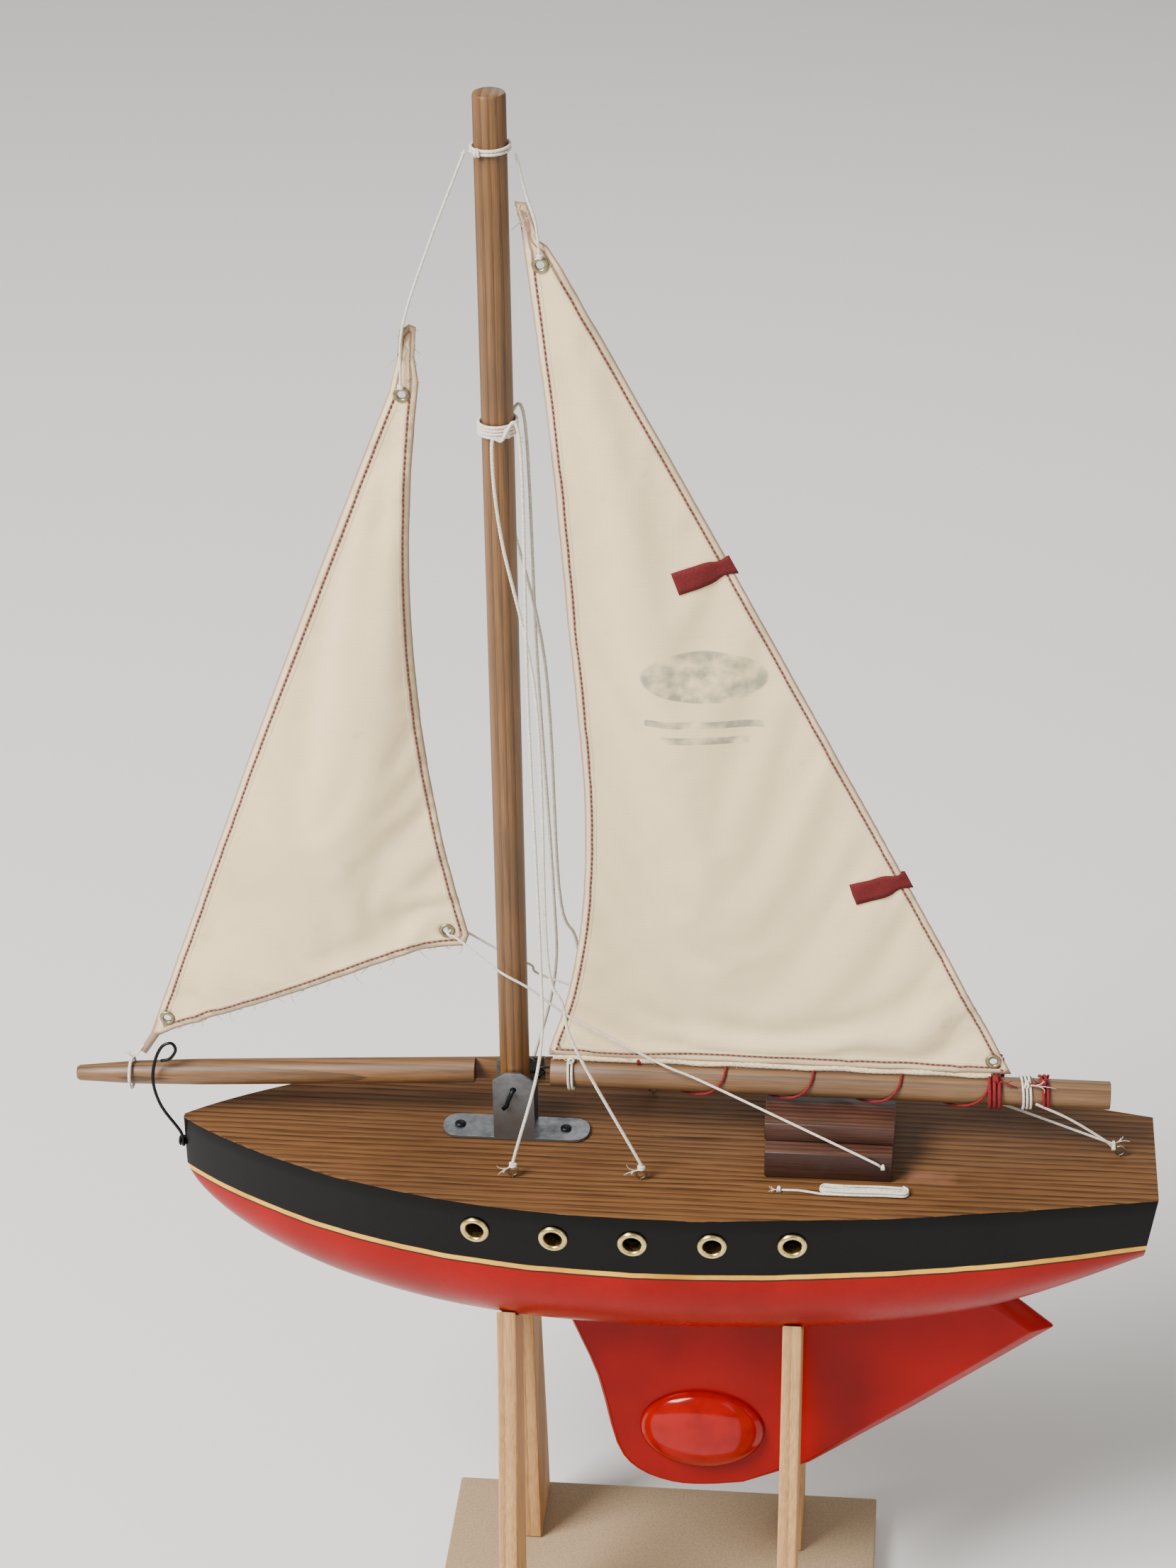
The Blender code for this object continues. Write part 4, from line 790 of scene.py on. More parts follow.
    # A paler patch aft of the cabin, where glue or a fitting has lifted the stain.
    sides = []
    for axis, outside, inside in (("X", MIDDLE_X + 0.0865, MIDDLE_X + 0.0885),
                                  ("X", MIDDLE_X + 0.1055, MIDDLE_X + 0.1035),
                                  ("Y", -0.0225, -0.0205), ("Y", -0.0135, -0.0155)):
        sides.append(add(tree, RANGE, {"Value": parts[axis], "From Min": outside, "From Max": inside}))
    long_sides = add(tree, MATH, {0: sides[0], 1: sides[1]}, operation="MULTIPLY")
    short_sides = add(tree, MATH, {0: sides[2], 1: sides[3]}, operation="MULTIPLY")
    patch = add(tree, MATH, {0: long_sides, 1: short_sides}, operation="MULTIPLY")
    ragged = add(tree, RANGE, {"Value": grime, "From Min": 0.3, "From Max": 0.6})
    worn = add(tree, MATH, {0: patch, 1: ragged}, operation="MULTIPLY")
    worn = add(tree, MATH, {0: worn, 1: 0.6}, operation="MULTIPLY")
    planks = add(tree, BLEND, {SHARE: worn, FIRST: planks, SECOND: linear("#8A5C48")}, data_type="RGBA")
    # The deck's edge, where the black has chipped away by up to 0.4 mm.
    chips = add(tree, RANGE, {"Value": grime, "From Min": 0.52, "From Max": 0.66})
    chips = add(tree, MATH, {0: chips, 1: 0.4 * MM}, operation="MULTIPLY")
    chipped = add(tree, MATH, {0: drop, 1: chips}, operation="SUBTRACT")
    on_deck = add(tree, RANGE, {"Value": chipped, "From Min": 0.32 * MM, "From Max": 0.22 * MM})
    colour = add(tree, BLEND, {SHARE: on_deck, FIRST: colour, SECOND: planks}, data_type="RGBA")
    # Paint shines more than bare wood, and grime dulls both.
    gloss = add(tree, MATH, {0: on_deck, 1: 0.28}, operation="MULTIPLY")
    gloss = add(tree, MATH, {0: 0.26, 1: gloss}, operation="ADD")
    dull = add(tree, RANGE, {"Value": grime, "From Min": 0.4, "From Max": 0.8})
    dull = add(tree, MATH, {0: dull, 1: 0.14}, operation="MULTIPLY")
    gloss = add(tree, MATH, {0: gloss, 1: dull}, operation="ADD")
    brush_place = add(tree, MAPPING, {"Vector": place, "Scale": (60, 400, 400)})
    brush = add(tree, NOISE, {"Vector": brush_place, "Scale": 1.0, "Detail": 2.0})
    brush = add(tree, MATH, {0: brush, 1: 0.5}, operation="MULTIPLY")
    height = add(tree, MATH, {0: streaks, 1: on_deck}, operation="MULTIPLY")
    height = add(tree, MATH, {0: height, 1: brush}, operation="ADD")
    relief = add(tree, BUMP, {"Height": height, "Strength": 0.45, "Distance": 0.1 * MM})
    connect(tree, shader, {"Base Color": colour, "Roughness": gloss, "Normal": relief})
    return material


painted_hull = loft_hull()
bore_portholes(painted_hull)
painted_hull.data.materials.clear()
painted_hull.data.materials.append(hull_paint())
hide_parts("hull")
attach(painted_hull, "hull")
print("hull:", len(painted_hull.data.polygons), "faces")

# %% [markdown]
# ## Portholes
# Ten brass eyelets are pressed into the topsides. One eyelet is turned from its rolled profile, and Geometry
# Nodes set it at each bore, facing the way the hull does there, so that every ring sits square on its bend.

# %% Portholes by Geometry Nodes


def turned_ring(name, profile, material, steps=40):
    """A closed profile of (radius, height) in millimetres turned about Z."""
    shape = bmesh.new()
    rings = []
    for k in range(steps):
        turn = 2 * math.pi * k / steps
        rings.append([shape.verts.new((r * MM * math.cos(turn), r * MM * math.sin(turn), h * MM))
                      for r, h in profile])
    for k in range(steps):
        first, second = rings[k], rings[(k + 1) % steps]
        for j in range(len(profile)):
            m = (j + 1) % len(profile)
            shape.faces.new((first[j], first[m], second[m], second[j]))
    return finish_mesh(shape, name, material, smooth_to=50)


def rolled_profile(inner, outer, crown, barrel, depth, lift=0.0):
    """An eyelet's wall: a rolled lip that curls out from the bore, and a straight barrel behind it."""
    middle, half = (inner + outer) / 2, (outer - inner) / 2
    lip = [(middle + half * math.cos(math.radians(a)), lift + crown * math.sin(math.radians(a)))
           for a in range(0, 181, 20)]
    return [*lip, (inner, -depth), (barrel, -depth), (barrel, lift - 0.25), (outer - 0.3, lift - 0.25)]


def instance_tree(material):
    """Sets one shape on each point, turned to the point's stored direction."""
    tree = bpy.data.node_groups.new("set_on_points", "GeometryNodeTree")
    tree.interface.new_socket("Geometry", in_out="INPUT", socket_type="NodeSocketGeometry")
    shape_socket = tree.interface.new_socket("Shape", in_out="INPUT", socket_type="NodeSocketObject")
    size_socket = tree.interface.new_socket("Size", in_out="INPUT", socket_type="NodeSocketFloat")
    tree.interface.new_socket("Geometry", in_out="OUTPUT", socket_type="NodeSocketGeometry")
    entry, exit_node = add(tree, "NodeGroupInput"), add(tree, "NodeGroupOutput")
    facing = add(tree, "GeometryNodeInputNamedAttribute", {"Name": "facing"}, data_type="FLOAT_VECTOR")
    heading = add(tree, "GeometryNodeInputNamedAttribute", {"Name": "heading"}, data_type="FLOAT_VECTOR")
    upright = add(tree, "FunctionNodeAlignRotationToVector", {"Vector": facing.outputs[0]}, axis="Z")
    turned = add(tree, "FunctionNodeAlignRotationToVector",
                 {"Rotation": upright.outputs[0], "Vector": heading.outputs[0]}, axis="X", pivot_axis="Z")
    shape = add(tree, "GeometryNodeObjectInfo", {"Object": entry.outputs["Shape"]})
    placed = add(tree, "GeometryNodeInstanceOnPoints",
                 {"Points": entry.outputs["Geometry"], "Instance": shape.outputs["Geometry"],
                  "Rotation": turned.outputs[0], "Scale": entry.outputs["Size"]})
    real = add(tree, "GeometryNodeRealizeInstances", {"Geometry": placed.outputs[0]})
    painted = add(tree, "GeometryNodeSetMaterial", {"Geometry": real.outputs[0], "Material": material})
    tree.links.new(painted.outputs[0], exit_node.inputs[0])
    return tree, shape_socket.identifier, size_socket.identifier


def set_on_points(name, shape, places, material, size=1.0):
    """A piece made of copies of one shape at (point, facing, heading) places."""
    mesh = bpy.data.meshes.new(name)
    mesh.from_pydata([place[0] for place in places], [], [])
    for index, word in ((1, "facing"), (2, "heading")):
        values = mesh.attributes.new(word, "FLOAT_VECTOR", "POINT")
        for item, place in zip(values.data, places):
            item.vector = place[index]
    holder = new_piece(name, mesh)
    tree, shape_id, size_id = instance_tree(material)
    modifier = holder.modifiers.new("copies", "NODES")
    modifier.node_group = tree
    modifier[shape_id] = shape
    modifier[size_id] = size
    graph = bpy.context.evaluated_depsgraph_get()
    real = bpy.data.meshes.new_from_object(holder.evaluated_get(graph))
    holder.modifiers.clear()
    holder.data = real
    bpy.data.objects.remove(shape)
    return holder


def press_portholes():
    for side, word in ((-1, "port"), (1, "starboard")):
        eyelet = turned_ring("eyelet", rolled_profile(3.2, 5.3, 1.15, 3.8, 4.5, lift=0.35), brass)
        places = [(deck(x, side * side_y(x, -PORTHOLE_Z), PORTHOLE_Z), porthole_facing(x, side), (1, 0, 0))
                  for x in PORTHOLE_XS]
        rings = set_on_points(f"portholes_{word}", eyelet, places, brass)
        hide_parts(*[f"porthole_{word}_{i + 1}" for i in range(len(PORTHOLE_XS))])
        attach(rings, "hull")
        print(rings.name, len(rings.data.polygons), "faces")


press_portholes()

# %% [markdown]
# ## Spars
# Mast, boom and bowsprit are dowels. A dowel is turned, so a profile spun about its length is its whole
# shape. The bowsprit's heel is cut flat to lie beside the mast, so it is an eased copy of its node instead.

# %% Spars


def turned_spar(name, start, end, profile, material, body, node, steps=48):
    """A solid of revolution from start to end; profile is (radius, share of the length) pairs."""
    start, end = deck(*start), deck(*end)
    way = end - start
    frame_of = Matrix.Translation(start) @ way.to_track_quat("Z", "Y").to_matrix().to_4x4()
    shape = bmesh.new()
    rings = []
    for radius, height in profile:
        rings.append([shape.verts.new(frame_of @ Vector((
            radius * MM * math.cos(2 * math.pi * k / steps), radius * MM * math.sin(2 * math.pi * k / steps),
            height * MM))) for k in range(steps)])
    for first, second in zip(rings, rings[1:]):
        for k in range(steps):
            m = (k + 1) % steps
            shape.faces.new((first[k], first[m], second[m], second[k]))
    shape.faces.new(list(reversed(rings[0])))
    shape.faces.new(rings[-1])
    spar = finish_mesh(shape, name, material, smooth_to=35)
    if node:
        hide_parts(node)
    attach(spar, body)
    return spar


def eased_rod(length, radius, ease=0.5, steps=6):
    """Profile of a rod whose two ends are rounded over a little."""
    body = [(radius, ease + (length - 2 * ease) * i / steps) for i in range(steps + 1)]
    return [(radius - ease, 0), (radius - ease * 0.3, ease * 0.3), *body,
            (radius - ease * 0.3, length - ease * 0.3), (radius - ease, length)]


mast_low, mast_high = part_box("mast")
MAST_X = ((mast_low.x + mast_high.x) / 2 - MIDDLE_X) / MM
MAST_RADIUS = (mast_high.x - mast_low.x) / 2 / MM
MAST_FOOT, MAST_TOP = (mast_low.z - DECK_Z) / MM, (mast_high.z - DECK_Z) / MM
turned_spar("oiled_mast", (MAST_X, 0, MAST_FOOT), (MAST_X, 0, MAST_TOP),
            eased_rod(MAST_TOP - MAST_FOOT, MAST_RADIUS, 1.2), spar_wood, "hull", "mast")
boom_low, boom_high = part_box("boom")
BOOM_RADIUS = (boom_high.z - boom_low.z) / 2 / MM
BOOM_Z = ((boom_low.z + boom_high.z) / 2 - DECK_Z) / MM
BOOM_FORE, BOOM_AFT = (boom_low.x - MIDDLE_X) / MM, (boom_high.x - MIDDLE_X) / MM
turned_spar("worn_boom", (BOOM_FORE, 0, BOOM_Z), (BOOM_AFT, 0, BOOM_Z),
            eased_rod(BOOM_AFT - BOOM_FORE, BOOM_RADIUS, 0.5), boom_wood, "boom", "boom")
eased("bowsprit", bowsprit_wood, "hull", 0.25, flat_to=0.5, smooth_to=35, angle=50)
print("mast", round(MAST_X, 1), round(MAST_RADIUS, 2), "boom", round(BOOM_FORE, 1), round(BOOM_AFT, 1))

# %% [markdown]
# ## Fittings
# The bracket is snipped and folded from sheet zinc. Wire parts are bent by hand, so they keep the frame's
# route but are drawn round and smooth.

# %% Fittings
eased("mast_bracket", zinc, "hull", 0.12, flat_to=1.0, smooth_to=30)


for steel_node in ("bracket_pin", "bracket_nail_fore", "bracket_nail_aft", "stem_nail", "stem_wire",
                   "gooseneck_eye", "gooseneck_hook"):
    body = "boom" if steel_node == "gooseneck_hook" else "hull"
    eased(steel_node, black_wire, body, flat_to=0, smooth_to=60)
for eye_node in ("shroud_eye_port_fore", "shroud_eye_port_aft", "shroud_eye_starboard_fore",
                 "shroud_eye_starboard_aft", "stern_eye"):
    eased(eye_node, dull_brass, "hull", flat_to=0, smooth_to=60)
print("fittings ready")

# %% [markdown]
# ## Sails
# Each sail is one piece of thin cotton. Its outline is cut flat, with round holes for the eyelets, and filled
# with small triangles that run in no single direction, so that it can crease any way. A cloth simulation then
# pins it where it is tied and lets the rest take the slack, which gives soft folds from head to foot.

# %% Cutting the cloth flat
CLOTH_STEP = 3.0
CLOTH_THICK = 0.4
GROMMET_HOLE = 1.8
BOOM_TOP = BOOM_Z + BOOM_RADIUS
MAST_FACE = MAST_X + MAST_RADIUS
FOOT_Z = BOOM_TOP + 2.4


def flat_curve(points, step=2.0):
    """An even, smooth run of flat points."""
    route = even_steps(smooth_route([(p[0], p[1], 0) for p in points], 8), step)
    return [(p.x, p.y) for p in route]


def bowed_edge(start, end, out, step=2.0):
    """A shallow arc from start to end."""
    start, end = Vector(start), Vector(end)
    way = end - start
    side = Vector((way.y, -way.x)).normalized()
    steps = max(2, round(way.length / step))
    return [tuple(start + way * i / steps + side * out * 4 * (i / steps) * (1 - i / steps))
            for i in range(steps)]


def jib_edges():
    head, tail, clew, top = (-88.3, 288.0), (-182.2, 42.0), (-68.5, 81.5), (-78.6, 291.0)
    luff = bowed_edge(head, tail, 1.5)
    foot = flat_curve([(-176.0, 37.6), (-158.0, 45.2), (-124.0, 60.4), (-96.0, 72.4), (-80.0, 76.4),
                       (-70.0, 77.4)])
    leech = bowed_edge(clew, top, -10.0)
    tongue = [top, (-78.0, 300.0), (-77.2, 310.0), (-81.0, 311.0), (-85.6, 310.0), (-87.4, 300.0)]
    corner = [tail, (-184.6, 35.5), (-189.0, 28.4), (-186.8, 26.8), (-181.6, 34.6)]
    return {"luff": luff, "corner": corner, "foot": foot, "leech": leech, "tongue": tongue}


def main_edges():
    face = MAST_FACE
    head, top, tack, clew = (face + 4.7, 336.0), (face + 16.6, 331.0), (face + 7.1, FOOT_Z), (122.5, FOOT_Z)
    luff = flat_curve([head, (face + 10.7, 280.0), (face + 16.3, 206.0), (face + 20.7, 143.0),
                       (face + 19.9, 99.0), (face + 14.7, 62.0), (face + 7.1, FOOT_Z + 2)])
    foot = bowed_edge(tack, clew, -0.01)
    leech = bowed_edge(clew, top, 1.0)
    tongue = [top, (face + 12.5, 339.0), (face + 9.7, 341.0), (face + 9.5, 345.0), (face + 6.8, 353.5),
              (face + 0.9, 353.5), (face + 2.0, 345.0)]
    return {"luff": luff, "foot": foot, "leech": leech, "tongue": tongue}


def distance_to(point, line):
    """How far a flat point is from a run of flat points."""
    best = 1e9
    for a, b in zip(line, line[1:]):
        ax, ay, dx, dy = a[0], a[1], b[0] - a[0], b[1] - a[1]
        t = max(0.0, min(1.0, ((point[0] - ax) * dx + (point[1] - ay) * dy) / (dx * dx + dy * dy + 1e-9)))
        best = min(best, math.hypot(point[0] - ax - t * dx, point[1] - ay - t * dy))
    return best


def cut_cloth(edges, holes):
    """Flat triangles inside the edges, with round holes; returns points, triangles and edge distances."""
    outline = [p for run in edges.values() for p in run]
    points = [Vector(p) for p in outline]
    rims = []
    for hole in holes:
        rim = [Vector(hole) + Vector((math.cos(a), math.sin(a))) * GROMMET_HOLE
               for a in (2 * math.pi * k / 14 for k in range(14))]
        rims.append([len(points) + k for k in range(14)])
        points += rim
    closed = [*outline, outline[0]]
    low_x, high_x = min(p[0] for p in outline), max(p[0] for p in outline)
    low_z, high_z = min(p[1] for p in outline), max(p[1] for p in outline)
    row = 0
    z = low_z
    while z < high_z:
        x = low_x + (CLOTH_STEP / 2 if row % 2 else 0)
        crossings = sorted(a[0] + (z - a[1]) * (b[0] - a[0]) / (b[1] - a[1])
                           for a, b in zip(closed, closed[1:]) if (a[1] > z) != (b[1] > z))
        while x < high_x:
            inside = sum(c < x for c in crossings) % 2
            if inside and all(math.hypot(x - h[0], z - h[1]) > GROMMET_HOLE + 1.2 for h in holes):
                if distance_to((x, z), closed) > 1.5:
                    points.append(Vector((x, z)))
            x += CLOTH_STEP
        z += CLOTH_STEP * 0.866
        row += 1
    edge_pairs = [(rim[k], rim[(k + 1) % 14]) for rim in rims for k in range(14)]
    found = delaunay_2d_cdt(points, edge_pairs, [list(range(len(outline)))], 1, 0.001)
    flat, triangles = found[0], found[2]
    kept = []
    for triangle in triangles:
        middle = sum((flat[i] for i in triangle), Vector((0, 0))) / 3
        if all((middle - Vector(h)).length > GROMMET_HOLE * 0.97 for h in holes):
            kept.append(triangle)
    hem = [distance_to(p, closed) for p in flat]
    return flat, kept, hem


print("foot of the mainsail", round(FOOT_Z, 1), "mm above the deck")

# %% [markdown]
# The simulation runs on a copy ten times as large, since the cloth solver is tuned for clothes and not for
# a handkerchief. Points near the tied corners and the head are pinned, and the hems and the foot are half
# held. The cloth is cut a hair too large for its frame, so it buckles softly, and a light breeze gives it a
# belly. The settled shape is scaled back and kept.

# %% Settling the cloth
SIM_SCALE = 10.0
SIM_FRAMES = 26


def settle_cloth(name, flat, triangles, pinned, belly, start_folds, gather):
    """The settled y of the cloth, as new places for its flat points, in millimetres of the deck."""
    places = [Vector((p.x + gather(p.x, p.y), start_folds(p.x, p.y), p.y)) for p in flat]
    mesh = bpy.data.meshes.new(name + "_settling")
    mesh.from_pydata([p * MM * SIM_SCALE for p in places], [], triangles)
    cloth = new_piece(name + "_settling", mesh)
    group = cloth.vertex_groups.new(name="tied")
    for index, point in enumerate(flat):
        weight = pinned(point.x, point.y)
        if weight > 0:
            group.add([index], weight, "REPLACE")
    modifier = cloth.modifiers.new("settle", "CLOTH")
    settings = modifier.settings
    settings.quality = 7
    settings.mass = 0.25
    settings.tension_stiffness = 30
    settings.compression_stiffness = 30
    settings.shear_stiffness = 12
    settings.bending_stiffness = 0.35
    settings.tension_damping = settings.compression_damping = 10
    settings.bending_damping = 1.0
    settings.air_damping = 2.0
    settings.vertex_group_mass = "tied"
    settings.pin_stiffness = 1.0
    settings.shrink_min = -0.005
    settings.use_pressure = True
    settings.uniform_pressure_force = belly
    settings.effector_weights.gravity = 0.35
    modifier.collision_settings.use_collision = False
    modifier.point_cache.frame_start = 1
    modifier.point_cache.frame_end = SIM_FRAMES
    scene = bpy.context.scene
    for number in range(1, SIM_FRAMES + 1):
        scene.frame_set(number)
    graph = bpy.context.evaluated_depsgraph_get()
    settled = [v.co / SIM_SCALE / MM for v in cloth.evaluated_get(graph).data.vertices]
    bpy.data.objects.remove(cloth)
    scene.frame_set(1)
    return settled


# %% [markdown]
# Sailcloth is plain woven cotton, washed and handled until it is cream. Its pattern reads the flat cut, which
# each sail keeps as its UV map, so the weave and the hems bend with the cloth. How far a point is from the
# edge is kept too, and it draws the double hem, its line of brown thread and the soiled rim.

# %% Cotton sailcloth


def sailcloth(name, marks, soiled_above):
    """Cream cotton: a plain weave of fine threads, hems sewn double, soft stains; marks are faded prints."""
    material, shader = start_material(name, roughness=0.92, sheen_weight=0.25, sheen_roughness=0.6)
    tree = material.node_tree
    flat_place = add(tree, "ShaderNodeUVMap", uv_map="flat_cut").outputs["UV"]
    sides = add(tree, "ShaderNodeSeparateXYZ", {"Vector": flat_place}).outputs
    # Threads half a millimetre apart: coarser than real ones, so that the weave shows at all.
    threads = {"Vector": flat_place, "Scale": WAVE_SPACING / (0.55 * MM), "Distortion": 0.6, "Detail": 1.0}
    warp, weft = (add(tree, WAVE, threads, bands_direction=way).outputs["Fac"] for way in ("X", "Y"))
    weave = add(tree, MATH, {0: warp, 1: weft}, operation="MULTIPLY")
    slub_place = add(tree, MAPPING, {"Vector": flat_place, "Scale": (60, 900, 1)})
    slubs = add(tree, NOISE, {"Vector": slub_place, "Scale": 1.0, "Detail": 3.0})
    clouds = add(tree, NOISE, {"Vector": flat_place, "Scale": 16.0, "Detail": 5.0, "Roughness": 0.6})
    spots = add(tree, NOISE, {"Vector": flat_place, "Scale": 120.0, "Detail": 3.0})
    hem = add(tree, "ShaderNodeAttribute", attribute_name="hem_distance").outputs["Fac"]
    doubled = add(tree, RANGE, {"Value": hem, "From Min": 4.2, "From Max": 3.8})
    seam_inner = add(tree, RANGE, {"Value": hem, "From Min": 3.1, "From Max": 2.7})
    seam_outer = add(tree, RANGE, {"Value": hem, "From Min": 1.7, "From Max": 2.1})
    seam = add(tree, MATH, {0: seam_inner, 1: seam_outer}, operation="MULTIPLY")
    rim = add(tree, RANGE, {"Value": hem, "From Min": 0.8, "From Max": 0.2})
    woven = {SHARE: weave, FIRST: linear("#E6CB98"), SECOND: linear("#F6E1B2")}
    colour = add(tree, BLEND, woven, data_type="RGBA")
    stained = [(add(tree, RANGE, {"Value": pattern, "From Min": low, "From Max": high}), depth, tint)
               for pattern, low, high, depth, tint in ((slubs, 0.55, 0.75, 0.2, "#C7B797"),
                                                       (clouds, 0.48, 0.75, 0.35, "#C9B48C"),
                                                       (spots, 0.68, 0.78, 0.25, "#A98F66"))]
    stained += [(doubled, 0.35, "#C9B894"), (seam, 0.8, "#64281F"), (rim, 0.75, "#7A4638")]
    for where, depth, tint in stained:
        share_of = add(tree, MATH, {0: where, 1: depth}, operation="MULTIPLY")
        colour = add(tree, BLEND, {SHARE: share_of, FIRST: colour, SECOND: linear(tint)}, data_type="RGBA")
    # Hands and a wet mast have soiled the head.
    head_low, head_high = soiled_above * MM, (soiled_above + 14) * MM
    above = add(tree, RANGE, {"Value": sides["Y"], "From Min": head_low, "From Max": head_high})
    patchy = add(tree, MATH, {0: spots, 1: 0.7}, operation="MULTIPLY")
    patchy = add(tree, MATH, {0: 0.25, 1: patchy}, operation="ADD")
    soil = add(tree, MATH, {0: above, 1: patchy}, operation="MULTIPLY")
    colour = add(tree, BLEND, {SHARE: soil, FIRST: colour, SECOND: linear("#8A6A4C")}, data_type="RGBA")
    # A faded print is an oval or a bar, by the power of its outline, with its ink worn off in spots.
    for middle_u, middle_v, half_u, half_v, power in marks:
        reaches = []
        for side, middle, half in (("X", middle_u, half_u), ("Y", middle_v, half_v)):
            away = add(tree, MATH, {0: sides[side], 1: middle * MM}, operation="SUBTRACT")
            away = add(tree, MATH, {0: away, 1: half * MM}, operation="DIVIDE")
            away = add(tree, MATH, {0: away, 1: 0.0}, operation="ABSOLUTE")
            reaches.append(add(tree, MATH, {0: away, 1: power}, operation="POWER"))
        reach = add(tree, MATH, {0: reaches[0], 1: reaches[1]}, operation="ADD")
        inside = add(tree, RANGE, {"Value": reach, "From Min": 1.06, "From Max": 0.96})
        worn = add(tree, RANGE, {"Value": spots, "From Min": 0.38, "From Max": 0.62})
        worn = add(tree, MATH, {0: worn, 1: 0.75}, operation="MULTIPLY")
        inked = add(tree, MATH, {0: inside, 1: worn}, operation="MULTIPLY")
        colour = add(tree, BLEND, {SHARE: inked, FIRST: colour, SECOND: linear("#5F6C62")}, data_type="RGBA")
    raised = add(tree, MATH, {0: weave, 1: 0.5}, operation="MULTIPLY")
    slub_rise = add(tree, MATH, {0: slubs, 1: 0.3}, operation="MULTIPLY")
    raised = add(tree, MATH, {0: raised, 1: slub_rise}, operation="ADD")
    doubled_rise = add(tree, MATH, {0: doubled, 1: 1.2}, operation="MULTIPLY")
    raised = add(tree, MATH, {0: raised, 1: doubled_rise}, operation="ADD")
    relief = add(tree, BUMP, {"Height": raised, "Strength": 0.7, "Distance": 0.18 * MM})
    connect(tree, shader, {"Base Color": colour, "Normal": relief})
    return material


# %% [markdown]
# A hem line, its stitches and the eyelets lie on the cloth wherever the simulation has left it. A point of
# the flat cut is found in its flat triangle and carried to the same share of the settled triangle.

# %% Sail pieces


def crumple(x, z, corners):
    """Small set-in creases of handled cotton, deeper towards the tied corners."""
    near = min(math.hypot(x - c[0], z - c[1]) for c in corners)
    depth = 0.22 + 0.75 * math.exp(-(((near - 22) / 20) ** 2))
    where = Vector((x * 0.05, 3.7, z * 0.036))
    ridges = abs(noise.noise(where)) + 0.5 * abs(noise.noise(where * 2.3))
    return depth * (0.55 - 2.2 * ridges) * min(1.0, max(0.0, (near - 4) / 8))


class Sail:
    """A cut and settled sail, and the way from its flat cut to its settled shape."""

    def __init__(self, name, edges, holes, pinned, belly, start_folds, gather):
        self.edges = edges
        flat, triangles, hem = cut_cloth(edges, holes)
        settled = settle_cloth(name, flat, triangles, pinned, belly, start_folds, gather)
        self.flat = [Vector((p.x, 0, p.y)) for p in flat]
        self.settled = [deck(p.x, p.y + crumple(f.x, f.y, holes), p.z) for f, p in zip(flat, settled)]
        self.triangles = triangles
        self.tree = BVHTree.FromPolygons(self.flat, triangles)
        mesh = bpy.data.meshes.new(name)
        mesh.from_pydata(self.settled, [], triangles)
        layer = mesh.uv_layers.new(name="flat_cut")
        for loop in mesh.loops:
            point = flat[loop.vertex_index]
            layer.data[loop.index].uv = (point.x * MM, point.y * MM)
        distances = mesh.attributes.new("hem_distance", "FLOAT", "POINT")
        distances.data.foreach_set("value", hem)
        mesh.shade_smooth()
        self.mesh = mesh
        self.area = sum(self.flat_area(t) for t in triangles) * MM * MM
        self.name = name

    def flat_area(self, triangle):
        a, b, c = (self.flat[i] for i in triangle)
        return (b - a).cross(c - a).length / 2

    def carry(self, x, z, lift_mm=0.0):
        """The settled place and facing of a flat point, lifted off the cloth on either side."""
        place, _, index, _ = self.tree.find_nearest(Vector((x, 0, z)))
        corners = self.triangles[index]
        flat = [self.flat[i] for i in corners]
        real = [self.settled[i] for i in corners]
        point = barycentric_transform(place, *flat, *real)
        normal = (real[1] - real[0]).cross(real[2] - real[0]).normalized()
        if normal.y > 0:
            normal = -normal
        return point + normal * lift_mm * MM, normal

    def hem_line(self, runs, inset, step):
        """Flat points inside the named edges, a step apart."""
        route = [Vector((p[0], 0, p[1])) for run in runs for p in self.edges[run]]
        route = even_steps(route, step)
        found = []
        for a, b in zip(route, route[1:]):
            way = (b - a).normalized()
            inward = Vector((-way.z, 0, way.x)) * inset
            middle = (a + b) / 2
            trial = middle + inward
            near = self.tree.find_nearest(trial)[3]
            found.append(trial if near < 0.05 else middle - inward)
        return found

    def stitches(self, runs, inset, step, body):
        """Short stitches on both faces, along the hem."""
        shape = bmesh.new()
        bmesh.ops.create_uvsphere(shape, u_segments=6, v_segments=4, radius=1.0)
        bmesh.ops.scale(shape, vec=(step * 0.4 * MM, 0.34 * MM, 0.22 * MM), verts=shape.verts)
        stitch = finish_mesh(shape, "stitch", seam_thread)
        line = self.hem_line(runs, inset, step)
        places = []
        for before, here, after in zip(line, line[1:], line[2:]):
            for face in (1, -1):
                point, facing = self.carry(here.x, here.z, face * (CLOTH_THICK / 2 + 0.04))
                way = self.carry(after.x, after.z)[0] - self.carry(before.x, before.z)[0]
                places.append((point, facing * face, way.normalized()))
        sewn = set_on_points(f"{self.name}_{runs[0]}_stitches", stitch, places, seam_thread)
        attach(sewn, body)
        return sewn


# %% [markdown]
# A sail hangs from its tied corners. The mainsail is bunched above its eyelet and laced along the boom. The
# jib is bunched at its head and tied at three corners. Each starts with slack folds that fan out from its
# head, and the simulation settles them.

# %% The mainsail and the jib


def corner_hold(corners):
    """Weight 1 within a corner's reach, easing to 0 over the next few millimetres."""

    def hold(x, z):
        best = 0.0
        for corner_x, corner_z, reach, ease in corners:
            away = math.hypot(x - corner_x, z - corner_z)
            best = max(best, min(1.0, max(0.0, 1 - (away - reach) / ease)))
        return best

    return hold


